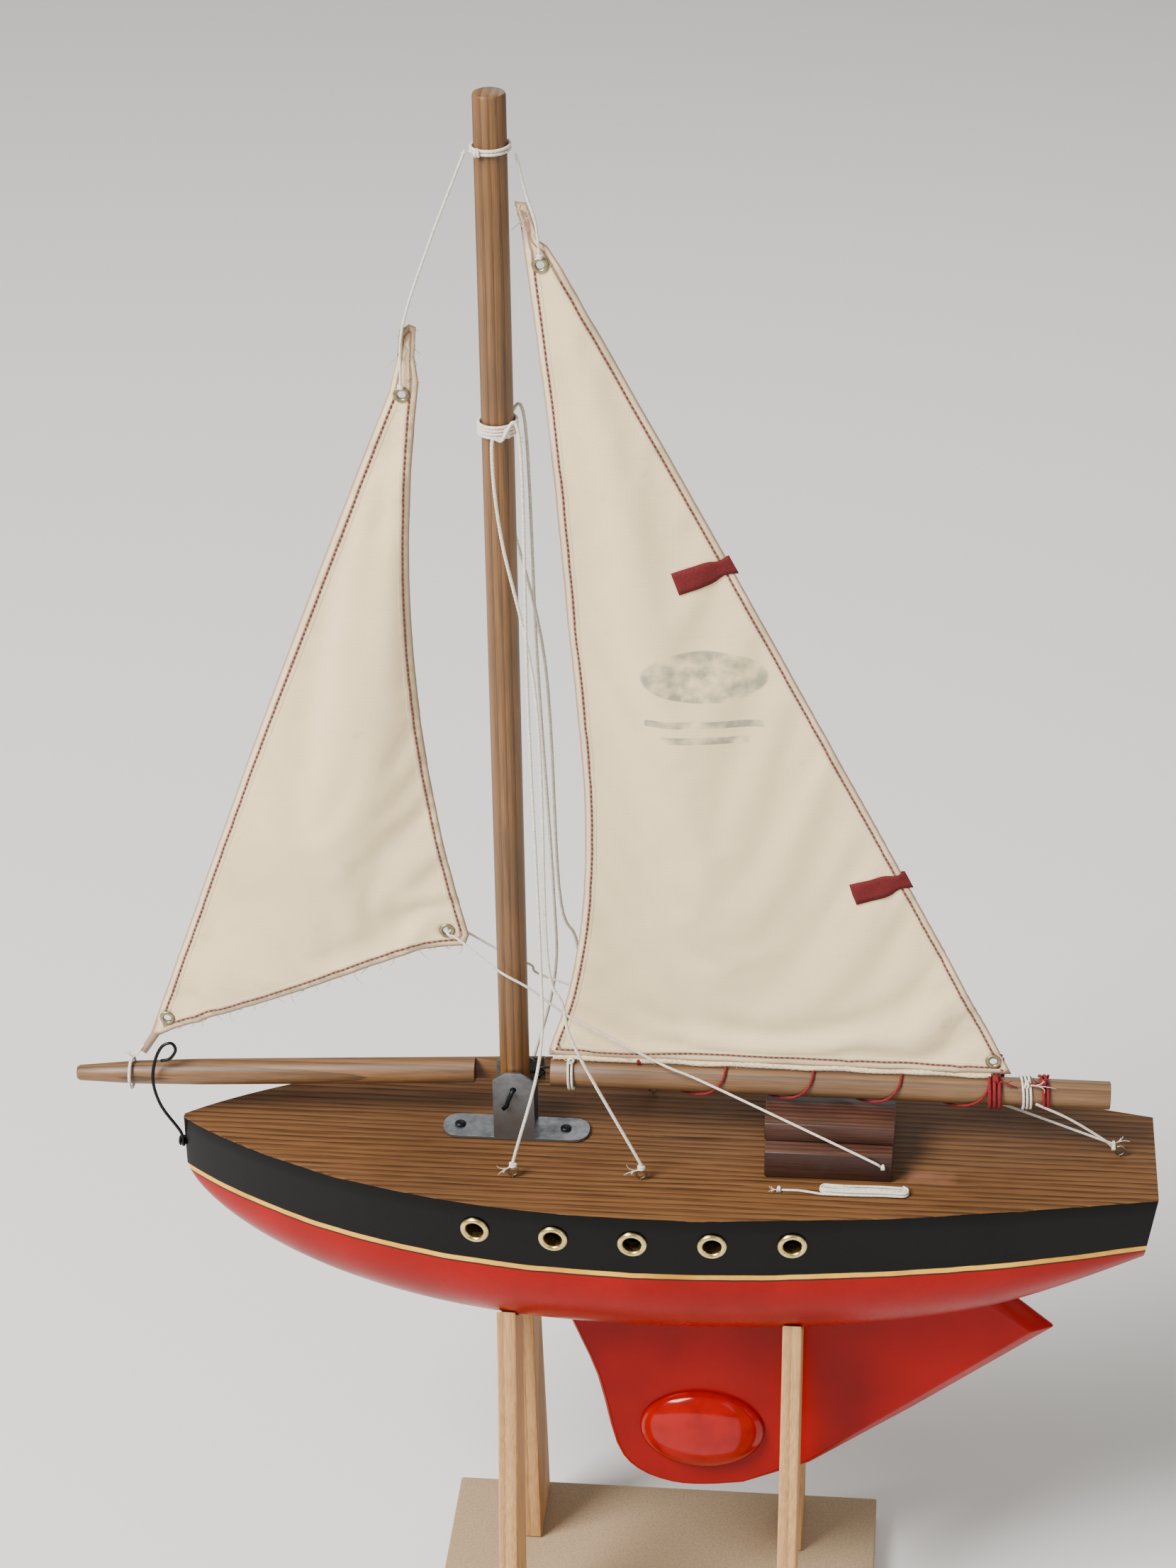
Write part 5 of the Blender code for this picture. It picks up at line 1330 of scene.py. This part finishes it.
def main_folds(x, z):
    """Slack gathered at the head, running down the sail and fading out."""
    share_down = max(0.0, min(1.0, (335 - z) / 300))
    across = (x + 45) / max(8.0, 10 + share_down * 160)
    rise = share_down * (1 - share_down) * 4
    gather = max(0.0, min(1.0, (z - 336) / 6)) * 1.2 * math.sin((x - MAST_FACE) * 2.1 + z * 0.1)
    creases = 1.6 * math.sin(across * 7.0 + 0.6) + 0.8 * math.sin(across * 15.0 - z * 0.02)
    return gather + rise * creases


def main_gather(x, z):
    """The head above its eyelet is bunched to two thirds of its width."""
    centre = MAST_FACE + 9 - (z - 336) * 0.3
    return (centre - x) * 0.38 * max(0.0, min(1.0, (z - 336) / 7))


def jib_gather(x, z):
    centre = -82.6 + (z - 292) * 0.07
    return (centre - x) * 0.42 * max(0.0, min(1.0, (z - 291) / 7))


def jib_folds(x, z):
    share_down = max(0.0, min(1.0, (288 - z) / 240))
    across = (x + 85 + share_down * 100) / max(8.0, 8 + share_down * 110)
    rise = share_down * (1 - share_down) * 4
    gather = max(0.0, min(1.0, (z - 291) / 6)) * 1.0 * math.sin((x + 85) * 2.0 + z * 0.1)
    creases = 2.0 * math.sin(across * 8.0) + 0.7 * math.sin(across * 17.0 + z * 0.03)
    return gather + rise * creases


BREEZE = 0.08
MAIN_EYELETS = {"head": (MAST_FACE + 9.6, 332.6), "clew": (116.0, FOOT_Z + 5.0)}
JIB_EYELETS = {"head": (-84.3, 287.0), "tack": (-178.2, 42.2), "clew": (-76.1, 83.4)}
main_hold = corner_hold([(MAST_FACE + 8, 345, 14, 6), (MAST_FACE + 7, FOOT_Z, 6, 8), (118, FOOT_Z + 3, 8, 8)])


def main_pins(x, z):
    """Corners, and the foot where the lacing takes it."""
    foot = 0.85 if z < FOOT_Z + 1.5 else 0.0
    return max(main_hold(x, z), foot, roped_edges(x, z, main_edges_cut))


def roped_edges(x, z, edges):
    """A sewn hem hardly stretches, so the luff and leech keep close to their line."""
    away = min(distance_to((x, z), edges["luff"]), distance_to((x, z), edges["leech"]))
    return 0.5 if away < 1.2 else 0.0


def jib_pins(x, z):
    return max(jib_hold(x, z), roped_edges(x, z, jib_edges_cut))


main_edges_cut, jib_edges_cut = main_edges(), jib_edges()
mainsail = Sail("cotton_mainsail", main_edges_cut, list(MAIN_EYELETS.values()), main_pins, BREEZE, main_folds,
                main_gather)
jib_hold = corner_hold([(-83, 300, 15, 6), (-182, 37, 9, 8), (-74, 82, 6, 8)])
jib = Sail("cotton_jib", jib_edges_cut, list(JIB_EYELETS.values()), jib_pins, BREEZE, jib_folds,
           jib_gather)
for sail in (mainsail, jib):
    depth = [p.y / MM for p in sail.settled]
    reach = (round(min(depth), 1), round(max(depth), 1))
    print(sail.name, len(sail.triangles), "triangles; belly", reach[0], "to", reach[1])

# %% [markdown]
# A settled sail is a single skin, so Solidify gives it the thickness of its cloth. Stitches are tiny grains
# set along the hems by Geometry Nodes, on both faces. Each sail's flat area is printed.

# %% Finish the sails
SEAM_INSET, STITCH_STEP = 2.4, 1.9
# A mark is its middle and its half size on the flat cut, and its outline's power: 2 an oval, 12 a bar.
MAIN_MARKS = ((14.0, 189.0, 21.0, 9.5, 2), (14.0, 171.5, 20.0, 1.3, 12), (14.5, 165.5, 15.0, 1.3, 12))


def finish_sail(sail, node, body, marks, soiled, runs):
    cloth = new_piece(sail.name, sail.mesh, sailcloth(sail.name + "_cotton", marks, soiled))
    thick = cloth.modifiers.new("thickness", "SOLIDIFY")
    thick.thickness = CLOTH_THICK * MM
    thick.offset = 0.0
    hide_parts(node)
    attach(cloth, body)
    sewn = [sail.stitches(names, SEAM_INSET, STITCH_STEP, body) for names in runs]
    print(sail.name, "flat area", round(sail.area, 5), "m2")


finish_sail(mainsail, "mainsail", "boom", MAIN_MARKS, 338, [["luff"], ["foot"], ["leech"]])
finish_sail(jib, "jib", "jib", (), 296, [["luff"], ["foot"], ["leech"]])


# %% [markdown]
# Handled cotton sheds threads at its edges. They are drawn a little thicker than real ones, so that they
# show, and each bends its own way by its number, which gives the same threads on every run.

# %% Loose threads at the raw edges


def loose_threads(sail, runs, gap_mm, length_mm, body):
    """Fine threads that have worked out of the hem, each bent its own way."""
    shape = bmesh.new()
    line = sail.hem_line(runs, 0.3, gap_mm)
    for number, here in enumerate(line):
        turn = number * 2.399
        start, _ = sail.carry(here.x, here.z, 0.15 * (-1) ** number)
        reach = length_mm * (0.35 + 0.65 * ((number * 7) % 11) / 10) * MM
        way = Vector((0.8 * math.cos(turn), 0.25 * math.sin(turn * 1.7), -0.75 + 0.5 * math.sin(turn)))
        bend = Vector((math.sin(turn * 2.3), 0.3 * math.cos(turn), 0.4 * math.cos(turn * 1.3))) * 0.5
        points = [start, start + way * reach * 0.4, start + (way + bend * 0.6) * reach * 0.75,
                  start + (way + bend * 1.3) * reach]
        twisted_tube(shape, smooth_route(points, 3), 0.13, 2, 3.0, 4, taper=True)
    threads = finish_mesh(shape, f"{sail.name}_{runs[0]}_loose_threads", loose_cotton, smooth_to=70)
    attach(threads, body)


hem_cotton = twisted_fibre("rolled_cotton_hem", "#E4CFA4", "#B99A74", fuzz=0.3)
loose_cotton = twisted_fibre("loose_cotton_fibre", "#B9A98C", "#8A6A52", fuzz=0.2)
loose_threads(jib, ["foot"], 3.1, 4.5, "jib")
loose_threads(mainsail, ["foot"], 4.3, 3.6, "boom")
loose_threads(mainsail, ["tongue"], 2.2, 3.2, "boom")
loose_threads(jib, ["tongue"], 2.2, 4.2, "jib")
print("loose threads drawn")

# %% [markdown]
# A sail's eyelet is clenched over both faces of the cloth, so its profile is rolled above and below. It sits
# square on the cloth round its hole, wherever the folds have tilted it.

# %% Eyelets of the sails


def double_rolled_profile(inner, outer, barrel, half_thick, crown):
    """An eyelet closed over both faces of a cloth."""
    middle, half = (inner + outer) / 2, (outer - inner) / 2
    arc = [math.radians(a) for a in range(0, 181, 30)]
    top = [(middle - half * math.cos(a), half_thick + crown * math.sin(a)) for a in arc]
    bottom = [(middle + half * math.cos(a), -half_thick - crown * math.sin(a)) for a in arc]
    return [*top, (barrel, half_thick), (barrel, -half_thick), *bottom]


def set_eyelets(sail, eyelets, prefix, body):
    for word, (x, z) in eyelets.items():
        ring = turned_ring("eyelet", double_rolled_profile(1.35, 2.8, 1.7, 0.25, 0.55), dull_brass, 32)
        rim = [sail.carry(x + 2.4 * math.cos(a), z + 2.4 * math.sin(a)) for a in (0.0, 2.1, 4.2)]
        middle = sum((r[0] for r in rim), Vector()) / 3
        facing = sum((r[1] for r in rim), Vector()).normalized()
        placed = set_on_points(f"{prefix}_{word}_eyelet", ring, [(middle, facing, (1, 0, 0))], dull_brass)
        placed.data.shade_smooth()
        placed.data.set_sharp_from_angle(angle=math.radians(50))
        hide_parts(f"{prefix}_grommet_{word}")
        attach(placed, body)


set_eyelets(mainsail, MAIN_EYELETS, "main", "boom")
set_eyelets(jib, JIB_EYELETS, "jib", "jib")

# %% [markdown]
# ## Ribbons
# Two short red tapes are folded over the leech. Each is a strip cut flat, pinched where it meets the seam,
# and laid on both faces of the cloth.

# %% Ribbons on the leech
RIBBON_LENGTH, RIBBON_HALF, RIBBON_PINCH, RIBBON_THICK = 20.0, 4.0, 1.3, 0.35
RIBBON_TILT = 20


def leech_x(z):
    low, high = Vector((122.5, FOOT_Z)), Vector((MAST_FACE + 16.6, 331.0))
    return low.x + (high.x - low.x) * (z - low.y) / (high.y - low.y)


def fold_ribbon(word, z):
    shape = bmesh.new()
    tilt = math.radians(RIBBON_TILT)
    end = Vector((leech_x(z) + 2.2, z))
    way, up = Vector((-math.cos(tilt), -math.sin(tilt))), Vector((-math.sin(tilt), math.cos(tilt)))
    rows = []
    steps = 14
    for face in (1, -1):
        for i in range(steps + 1):
            along = RIBBON_LENGTH * (1 - i / steps) if face == 1 else RIBBON_LENGTH * i / steps
            if face == -1 and i == 0:
                continue
            half = RIBBON_HALF - RIBBON_PINCH * math.exp(-((along - 3.5) / 3.0) ** 2)
            row = []
            for k in range(5):
                spot = end + way * along + up * half * (k / 2 - 1)
                curl = 0.25 * math.sin(along * 0.5) * (k - 2) / 2
                lift = face * (CLOTH_THICK / 2 + RIBBON_THICK + 0.15 * curl)
                point, _ = mainsail.carry(spot.x, spot.y, lift)
                past = max(0.0, 2.2 - along)
                if past:
                    seat, normal = mainsail.carry(spot.x, spot.y)
                    point = seat + normal * lift * MM * max(0.25, 1 - past / 2.6)
                    point += Vector((1.0, 0, 0.36)) * past * 0.5 * MM
                row.append(shape.verts.new(point))
            rows.append(row)
    for first, second in zip(rows, rows[1:]):
        for k in range(4):
            shape.faces.new((first[k], first[k + 1], second[k + 1], second[k]))
    tape = finish_mesh(shape, f"red_ribbon_{word}", red_tape, smooth_to=60)
    thick = tape.modifiers.new("thickness", "SOLIDIFY")
    thick.thickness = RIBBON_THICK * MM
    thick.offset = 0.0
    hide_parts(f"ribbon_{word}")
    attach(tape, "boom")


fold_ribbon("upper", 230.0)
fold_ribbon("lower", 112.0)
print("ribbons folded")

# %% [markdown]
# ## Standing and running rigging
# Each string keeps the route it has in the frame, but as laid strands with a knot and a frayed end where it
# is tied. A string that crosses a joint is made in parts, which are not attached to either body it joins.

# %% Strings with knots
STRING = 0.6
THIN_STRING = 0.48


def string(name, points, radius, nodes, body=None, bend=None, material=None, knots=(), frays=(),
           closed=False, pieces=8, keep=None):
    """A laid string through points of the deck; knots are (place, way, size), frays (place, way, length)."""
    route = smooth_route([deck(*p) for p in points], pieces)
    if keep:
        route = route[round(keep[0] * (len(route) - 1)) : round(keep[1] * (len(route) - 1)) + 1]
    shape = bmesh.new()
    twisted_tube(shape, route, radius, 3, radius * 6.5, 9, closed)
    for place, way, size in knots:
        knot = smooth_route(knot_route(deck(*place), way, size), 2)
        twisted_tube(shape, knot, radius * 0.95, 3, radius * 6.5, 8)
    for place, way, length in frays:
        frayed_ends(shape, deck(*place), way, length, 4, radius * 0.36)
    made = finish_mesh(shape, name, material or cotton_cord, smooth_to=60)
    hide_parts(*nodes)
    if bend:
        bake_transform(made)
    else:
        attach(made, body)
    return made


def shroud(side, word):
    up = [(-51.4, 28.6, 6.3), (-41.4, 25.3, 49.2), (-40.8, 22.2, 89.5), (-43.9, 14.9, 183.4)]
    turn = [(-45.4, 7.8, 274.7), (-51.4, 8.2, 275.3), (-54.4, 8.8, 273.2)]
    back = [(-51.9, 11.0, 242.5), (-41.2, 14.3, 183.4), (-38.6, 21.0, 89.5), (-33.4, 22.4, 69.4),
            (-28.9, 23.7, 51.9), (-6.1, 26.9, 6.3)]
    points = [(x, y * side, z) for x, y, z in [*up, *turn, *back]]
    knots = [((-51.4, 28.6 * side, 5.2), (0, 0.2, 1), 0.95), ((-6.1, 26.9 * side, 5.2), (0, 0.2, 1), 0.95)]
    frays = [((-52.2, 29.2 * side, 4.6), (-0.8, 0.5 * side, -0.1), 5.5),
             ((-6.6, 27.6 * side, 4.6), (-0.9, 0.5 * side, 0.15), 6.0)]
    string(f"shroud_string_{word}", points, STRING, [f"shroud_{word}"], "hull", knots=knots, frays=frays)


shroud(-1, "port")
shroud(1, "starboard")
print("shrouds strung")

# %% [markdown]
# A lashing is a few turns of string round a spar, which is a helix with a knot on it. Red thread laces the
# sail's foot to the boom: each turn runs straight across the top and slants away underneath.

# %% Lashings round the mast and the boom


def coil_points(centre, axis, radius, wraps, pitch, steps=20, start=0.0):
    """A helix round an axis, for a lashing."""
    axis = Vector(axis).normalized()
    side = axis.orthogonal().normalized()
    up = axis.cross(side)
    found = []
    for i in range(round(wraps * steps) + 1):
        turn = 2 * math.pi * i / steps + start
        along = (i / steps - wraps / 2) * pitch
        out = side * math.cos(turn) + up * math.sin(turn)
        found.append(tuple(Vector(centre) + axis * along + out * radius))
    return found


string("masthead_turns", coil_points((MAST_X, 0, 371.0), (0, 0, 1), MAST_RADIUS + 0.85, 2.0, 1.15), 0.55,
       ["masthead_lashing"], "hull", knots=[((MAST_X - 3.5, -5.6, 371.0), (1, 0, 0), 1.0)],
       frays=[((MAST_X - 5, -6.0, 371.2), (-1, -0.2, 0.35), 4.0)], pieces=2)
string("shroud_band_turns", coil_points((MAST_X, 0, 277.0), (0, 0, 1), MAST_RADIUS + 0.95, 4.0, 1.15), 0.6,
       ["shroud_band"], "hull",
       knots=[((MAST_X + 3.6, -5.6, 277.0), (1, 0, 0), 1.3)],
       frays=[((MAST_X + 5.2, -6.0, 276.6), (1, -0.2, -0.5), 6.0)], pieces=2)
tie = [(-193.0, 0.8 + 5.6 * math.sin(math.radians(a)), 17.2 + 5.6 * math.cos(math.radians(a)))
       for a in range(0, 360, 30)]
string("jib_tack_string", [*tie, tie[0]], STRING, ["jib_tack_tie"], "hull",
       knots=[((-193.0, 0.6, 23.4), (1, 0, 0), 0.9)], frays=[((-192.6, 0.2, 24.4), (-0.2, -0.5, 1), 4.5)])
string("jib_tack_link", [(-193.0, 0.4, 23.8), (-190.6, -0.9, 26.2), (-188.2, -1.0, 29.6), (-187.4, 0.0, 30.8),
                         (-188.4, 1.0, 29.4), (-190.4, 1.0, 26.4), (-193.0, 0.9, 23.6)], 0.42, [],
       bend=("hull", "jib", (-192.8, 0, 24), (-188.6, 0, 29)))
string("tack_string", coil_points((-33.0, 0, BOOM_Z), (1, 0, 0), BOOM_RADIUS + 0.8, 2.0, 1.3), THIN_STRING,
       ["tack_lashing"], "boom", knots=[((-33.0, -1.5, BOOM_Z + 6.2), (0, 1, 0), 0.8)],
       frays=[((-33.0, -2.4, BOOM_Z + 6.4), (-0.4, -1, 0.4), 4.5)], pieces=2)
string("clew_thread", coil_points((117.2, 0, BOOM_Z), (1, 0, 0), BOOM_RADIUS + 1.1, 3.0, 1.7), 0.75,
       ["clew_lashing"], "boom", material=red_thread, pieces=2,
       knots=[((117.2, -2.0, BOOM_Z + 6.2), (1, 0, 0), 1.0)],
       frays=[((118.6, -3.0, BOOM_Z + 6.0), (1, -0.6, 0.1), 7.0)])
string("clew_thread_aft", coil_points((134.5, 0, BOOM_Z), (1, 0.12, 0), BOOM_RADIUS + 1.0, 2.0, 1.6), 0.6, [],
       "boom", material=red_thread, pieces=2,
       knots=[((134.0, -2.6, BOOM_Z + 5.9), (1, 0, 0), 0.9)],
       frays=[((133.0, -3.4, BOOM_Z + 6.2), (-1, -0.5, 0.4), 5.0)])
LACING_START, LACING_TURNS, LACING_PITCH = -9, 4, 31
LACING_RADIUS = BOOM_RADIUS + 0.8
lacing = []
for step_number in range(LACING_TURNS * 12 + 1):
    lacing_turn = 2 * math.pi * step_number / 12
    along_boom = LACING_START + LACING_PITCH * step_number / 12 - 0.16 * LACING_PITCH * math.sin(lacing_turn)
    lacing.append((along_boom, LACING_RADIUS * math.sin(lacing_turn),
                   BOOM_Z + LACING_RADIUS * math.cos(lacing_turn)))
string("foot_lacing_thread", lacing, 0.5, ["foot_lacing"], "boom", material=red_thread,
       pieces=4, knots=[((-9.0, -0.4, BOOM_Z + 6.2), (1, 0, 0), 0.75)])
HEM_LENGTH, HEM_STEPS = 155, 24
hem_run = [(MAST_FACE + 8.5 + HEM_LENGTH * i / HEM_STEPS, 0.25 * math.sin(i * 2.1),
            BOOM_TOP + 1.5 + 0.2 * math.sin(i * 1.3)) for i in range(HEM_STEPS + 1)]
string("rolled_foot_hem", hem_run, 1.1, [], "boom", material=hem_cotton)
print("lashings tied")

# %% [markdown]
# Halyards hold the heads up, and sheets hold the clews in. Those that run from one body to another are not
# attached to either. The jib's sheet goes from the deck, round the mast and the clew, and back to the stern,
# and it is cut into parts, each of which runs between two bodies.

# %% Halyards and sheets
string("jib_halyard_string", [(-61.3, 0, 370), (-74.3, 0, 337), (-82.9, -1.5, 311), (-84.3, -1.9, 290.7)],
       THIN_STRING, ["jib_halyard"], bend=("hull", "jib", (-66, 0, 355), (-84.3, 0, 300)),
       knots=[((-84.3, -1.7, 290.4), (0, 0, 1), 0.7)])
string("main_halyard_string", [(MAST_FACE + 2.6, 0, 369), (MAST_FACE + 5.6, -0.6, 356),
                               (MAST_FACE + 8.4, -1.9, 347.6), (MAST_FACE + 9.6, -1.9, 336.3)],
       THIN_STRING, ["main_halyard"], "boom", knots=[((MAST_FACE + 9.6, -1.7, 336.0), (0, 0, 1), 0.7)])
jib_sheet_route = [(78.7, -23.1, 7), (70, -22.5, 11.5), (16.3, -7.5, 28.5), (3.5, -6.5, 33.6), (-5, -3.6, 36),
                   (-31.2, -3.4, 50.6), (-46.5, -6.9, 65.3), (-57.3, -6.9, 72.2), (-71.6, -3.2, 82.2),
                   (-74.7, -2.4, 83.1), (-76.1, 0, 83.4), (-74.7, 2.4, 83.6), (-71.6, 3.2, 82.6),
                   (-58.8, 6.9, 72.1), (-47.9, 6.9, 66.6), (-34.6, 5, 60.3), (60, 7, 33), (111.4, 6.8, 18.6),
                   (159.9, 1.2, 4.4)]
# One route, cut where a part changes the bodies it runs between.
string("jib_sheet_port_aft", jib_sheet_route, THIN_STRING, ["jib_sheet"], keep=(0, 4 / 18),
       bend=("boom", "hull", (3, 0, 34), (74, -22, 9)), knots=[((78.7, -23.1, 7.2), (1, 0, 0), 0.7)])
string("jib_sheet_port_middle", jib_sheet_route, THIN_STRING, ["jib_sheet"], keep=(4 / 18, 7 / 18),
       bend=("hull", "boom", (-46, 0, 60), (-6, 0, 40)))
string("jib_sheet_clew", jib_sheet_route, THIN_STRING, ["jib_sheet"], keep=(7 / 18, 13 / 18),
       bend=("hull", "jib", (-59.0, 0, 73), (-71.0, 0, 82)))
string("jib_sheet_starboard_fore", jib_sheet_route, THIN_STRING, ["jib_sheet"], keep=(13 / 18, 16 / 18),
       bend=("hull", "boom", (-46, 0, 62), (-6, 0, 50)))
string("jib_sheet_starboard_aft", jib_sheet_route, THIN_STRING, ["jib_sheet"], keep=(16 / 18, 1),
       bend=("boom", "hull", (100, 0, 22), (158, 0, 5)), knots=[((159.9, 1.2, 4.6), (1, 0, 0), 0.7)],
       frays=[((160.6, 1.8, 4.4), (1, 0.7, 0.1), 5.0)])
string("main_sheet_string", [(159.9, -1.2, 4.4), (156, -2.2, 8.6), (143.5, -4.6, 18.4), (131.5, -6.6, 25.5)],
       THIN_STRING, ["main_sheet"], bend=("hull", "boom", (157, 0, 8), (135, 0, 23)),
       knots=[((159.9, -1.2, 4.6), (1, 0, 0), 0.7)])
string("boom_end_string", coil_points((128.0, 0, BOOM_Z), (1, 0.1, 0), BOOM_RADIUS + 0.75, 3.0, 1.3),
       THIN_STRING, [], "boom", knots=[((128.0, -3.0, BOOM_Z + 5.4), (1, 0, 0), 1.1)],
       frays=[((129.4, -4.0, BOOM_Z + 5.6), (1, -0.6, 0.4), 9.0)], pieces=2)
print("running rigging strung")

# %% [markdown]
# ## Stage
# A pale floor, a broad soft light from the upper left as from a window, and a weak fill.

# %% Floor and light


def set_stage():
    shape = bmesh.new()
    bmesh.ops.create_grid(shape, x_segments=1, y_segments=1, size=6.0)
    floor = finish_mesh(shape, "floor")
    material, shader = start_material("pale_floor", roughness=0.8)
    shader.inputs["Base Color"].default_value = linear("#DEDCD7")
    floor.data.materials.append(material)
    world = bpy.data.worlds.new("studio")
    bpy.context.scene.world = world
    world.use_nodes = True
    world.node_tree.nodes["Background"].inputs["Color"].default_value = linear("#F1F0EE")
    world.node_tree.nodes["Background"].inputs["Strength"].default_value = 0.46
    # Each light's name, place and width, its power in watts, and what it is aimed at.
    for name, place, size, energy, aim_at in (
        ("window_light", (-1500, -1300, 2100), 1.2, 205, (0, 0, 100)),
        ("fill_light", (1200, -1100, 700), 1.2, 6, (0, 0, 60)),
        ("back_light", (300, 1300, 1100), 1.2, 7, (0, 0, 120)),
    ):
        data = bpy.data.lights.new(name, "AREA")
        data.size = size
        data.energy = energy
        light = bpy.data.objects.new(name, data)
        light.location = deck(*place)
        light.rotation_euler = (deck(*aim_at) - light.location).to_track_quat("-Z", "Y").to_euler()
        bpy.context.scene.collection.objects.link(light)
        print(name, energy, "W")


set_stage()
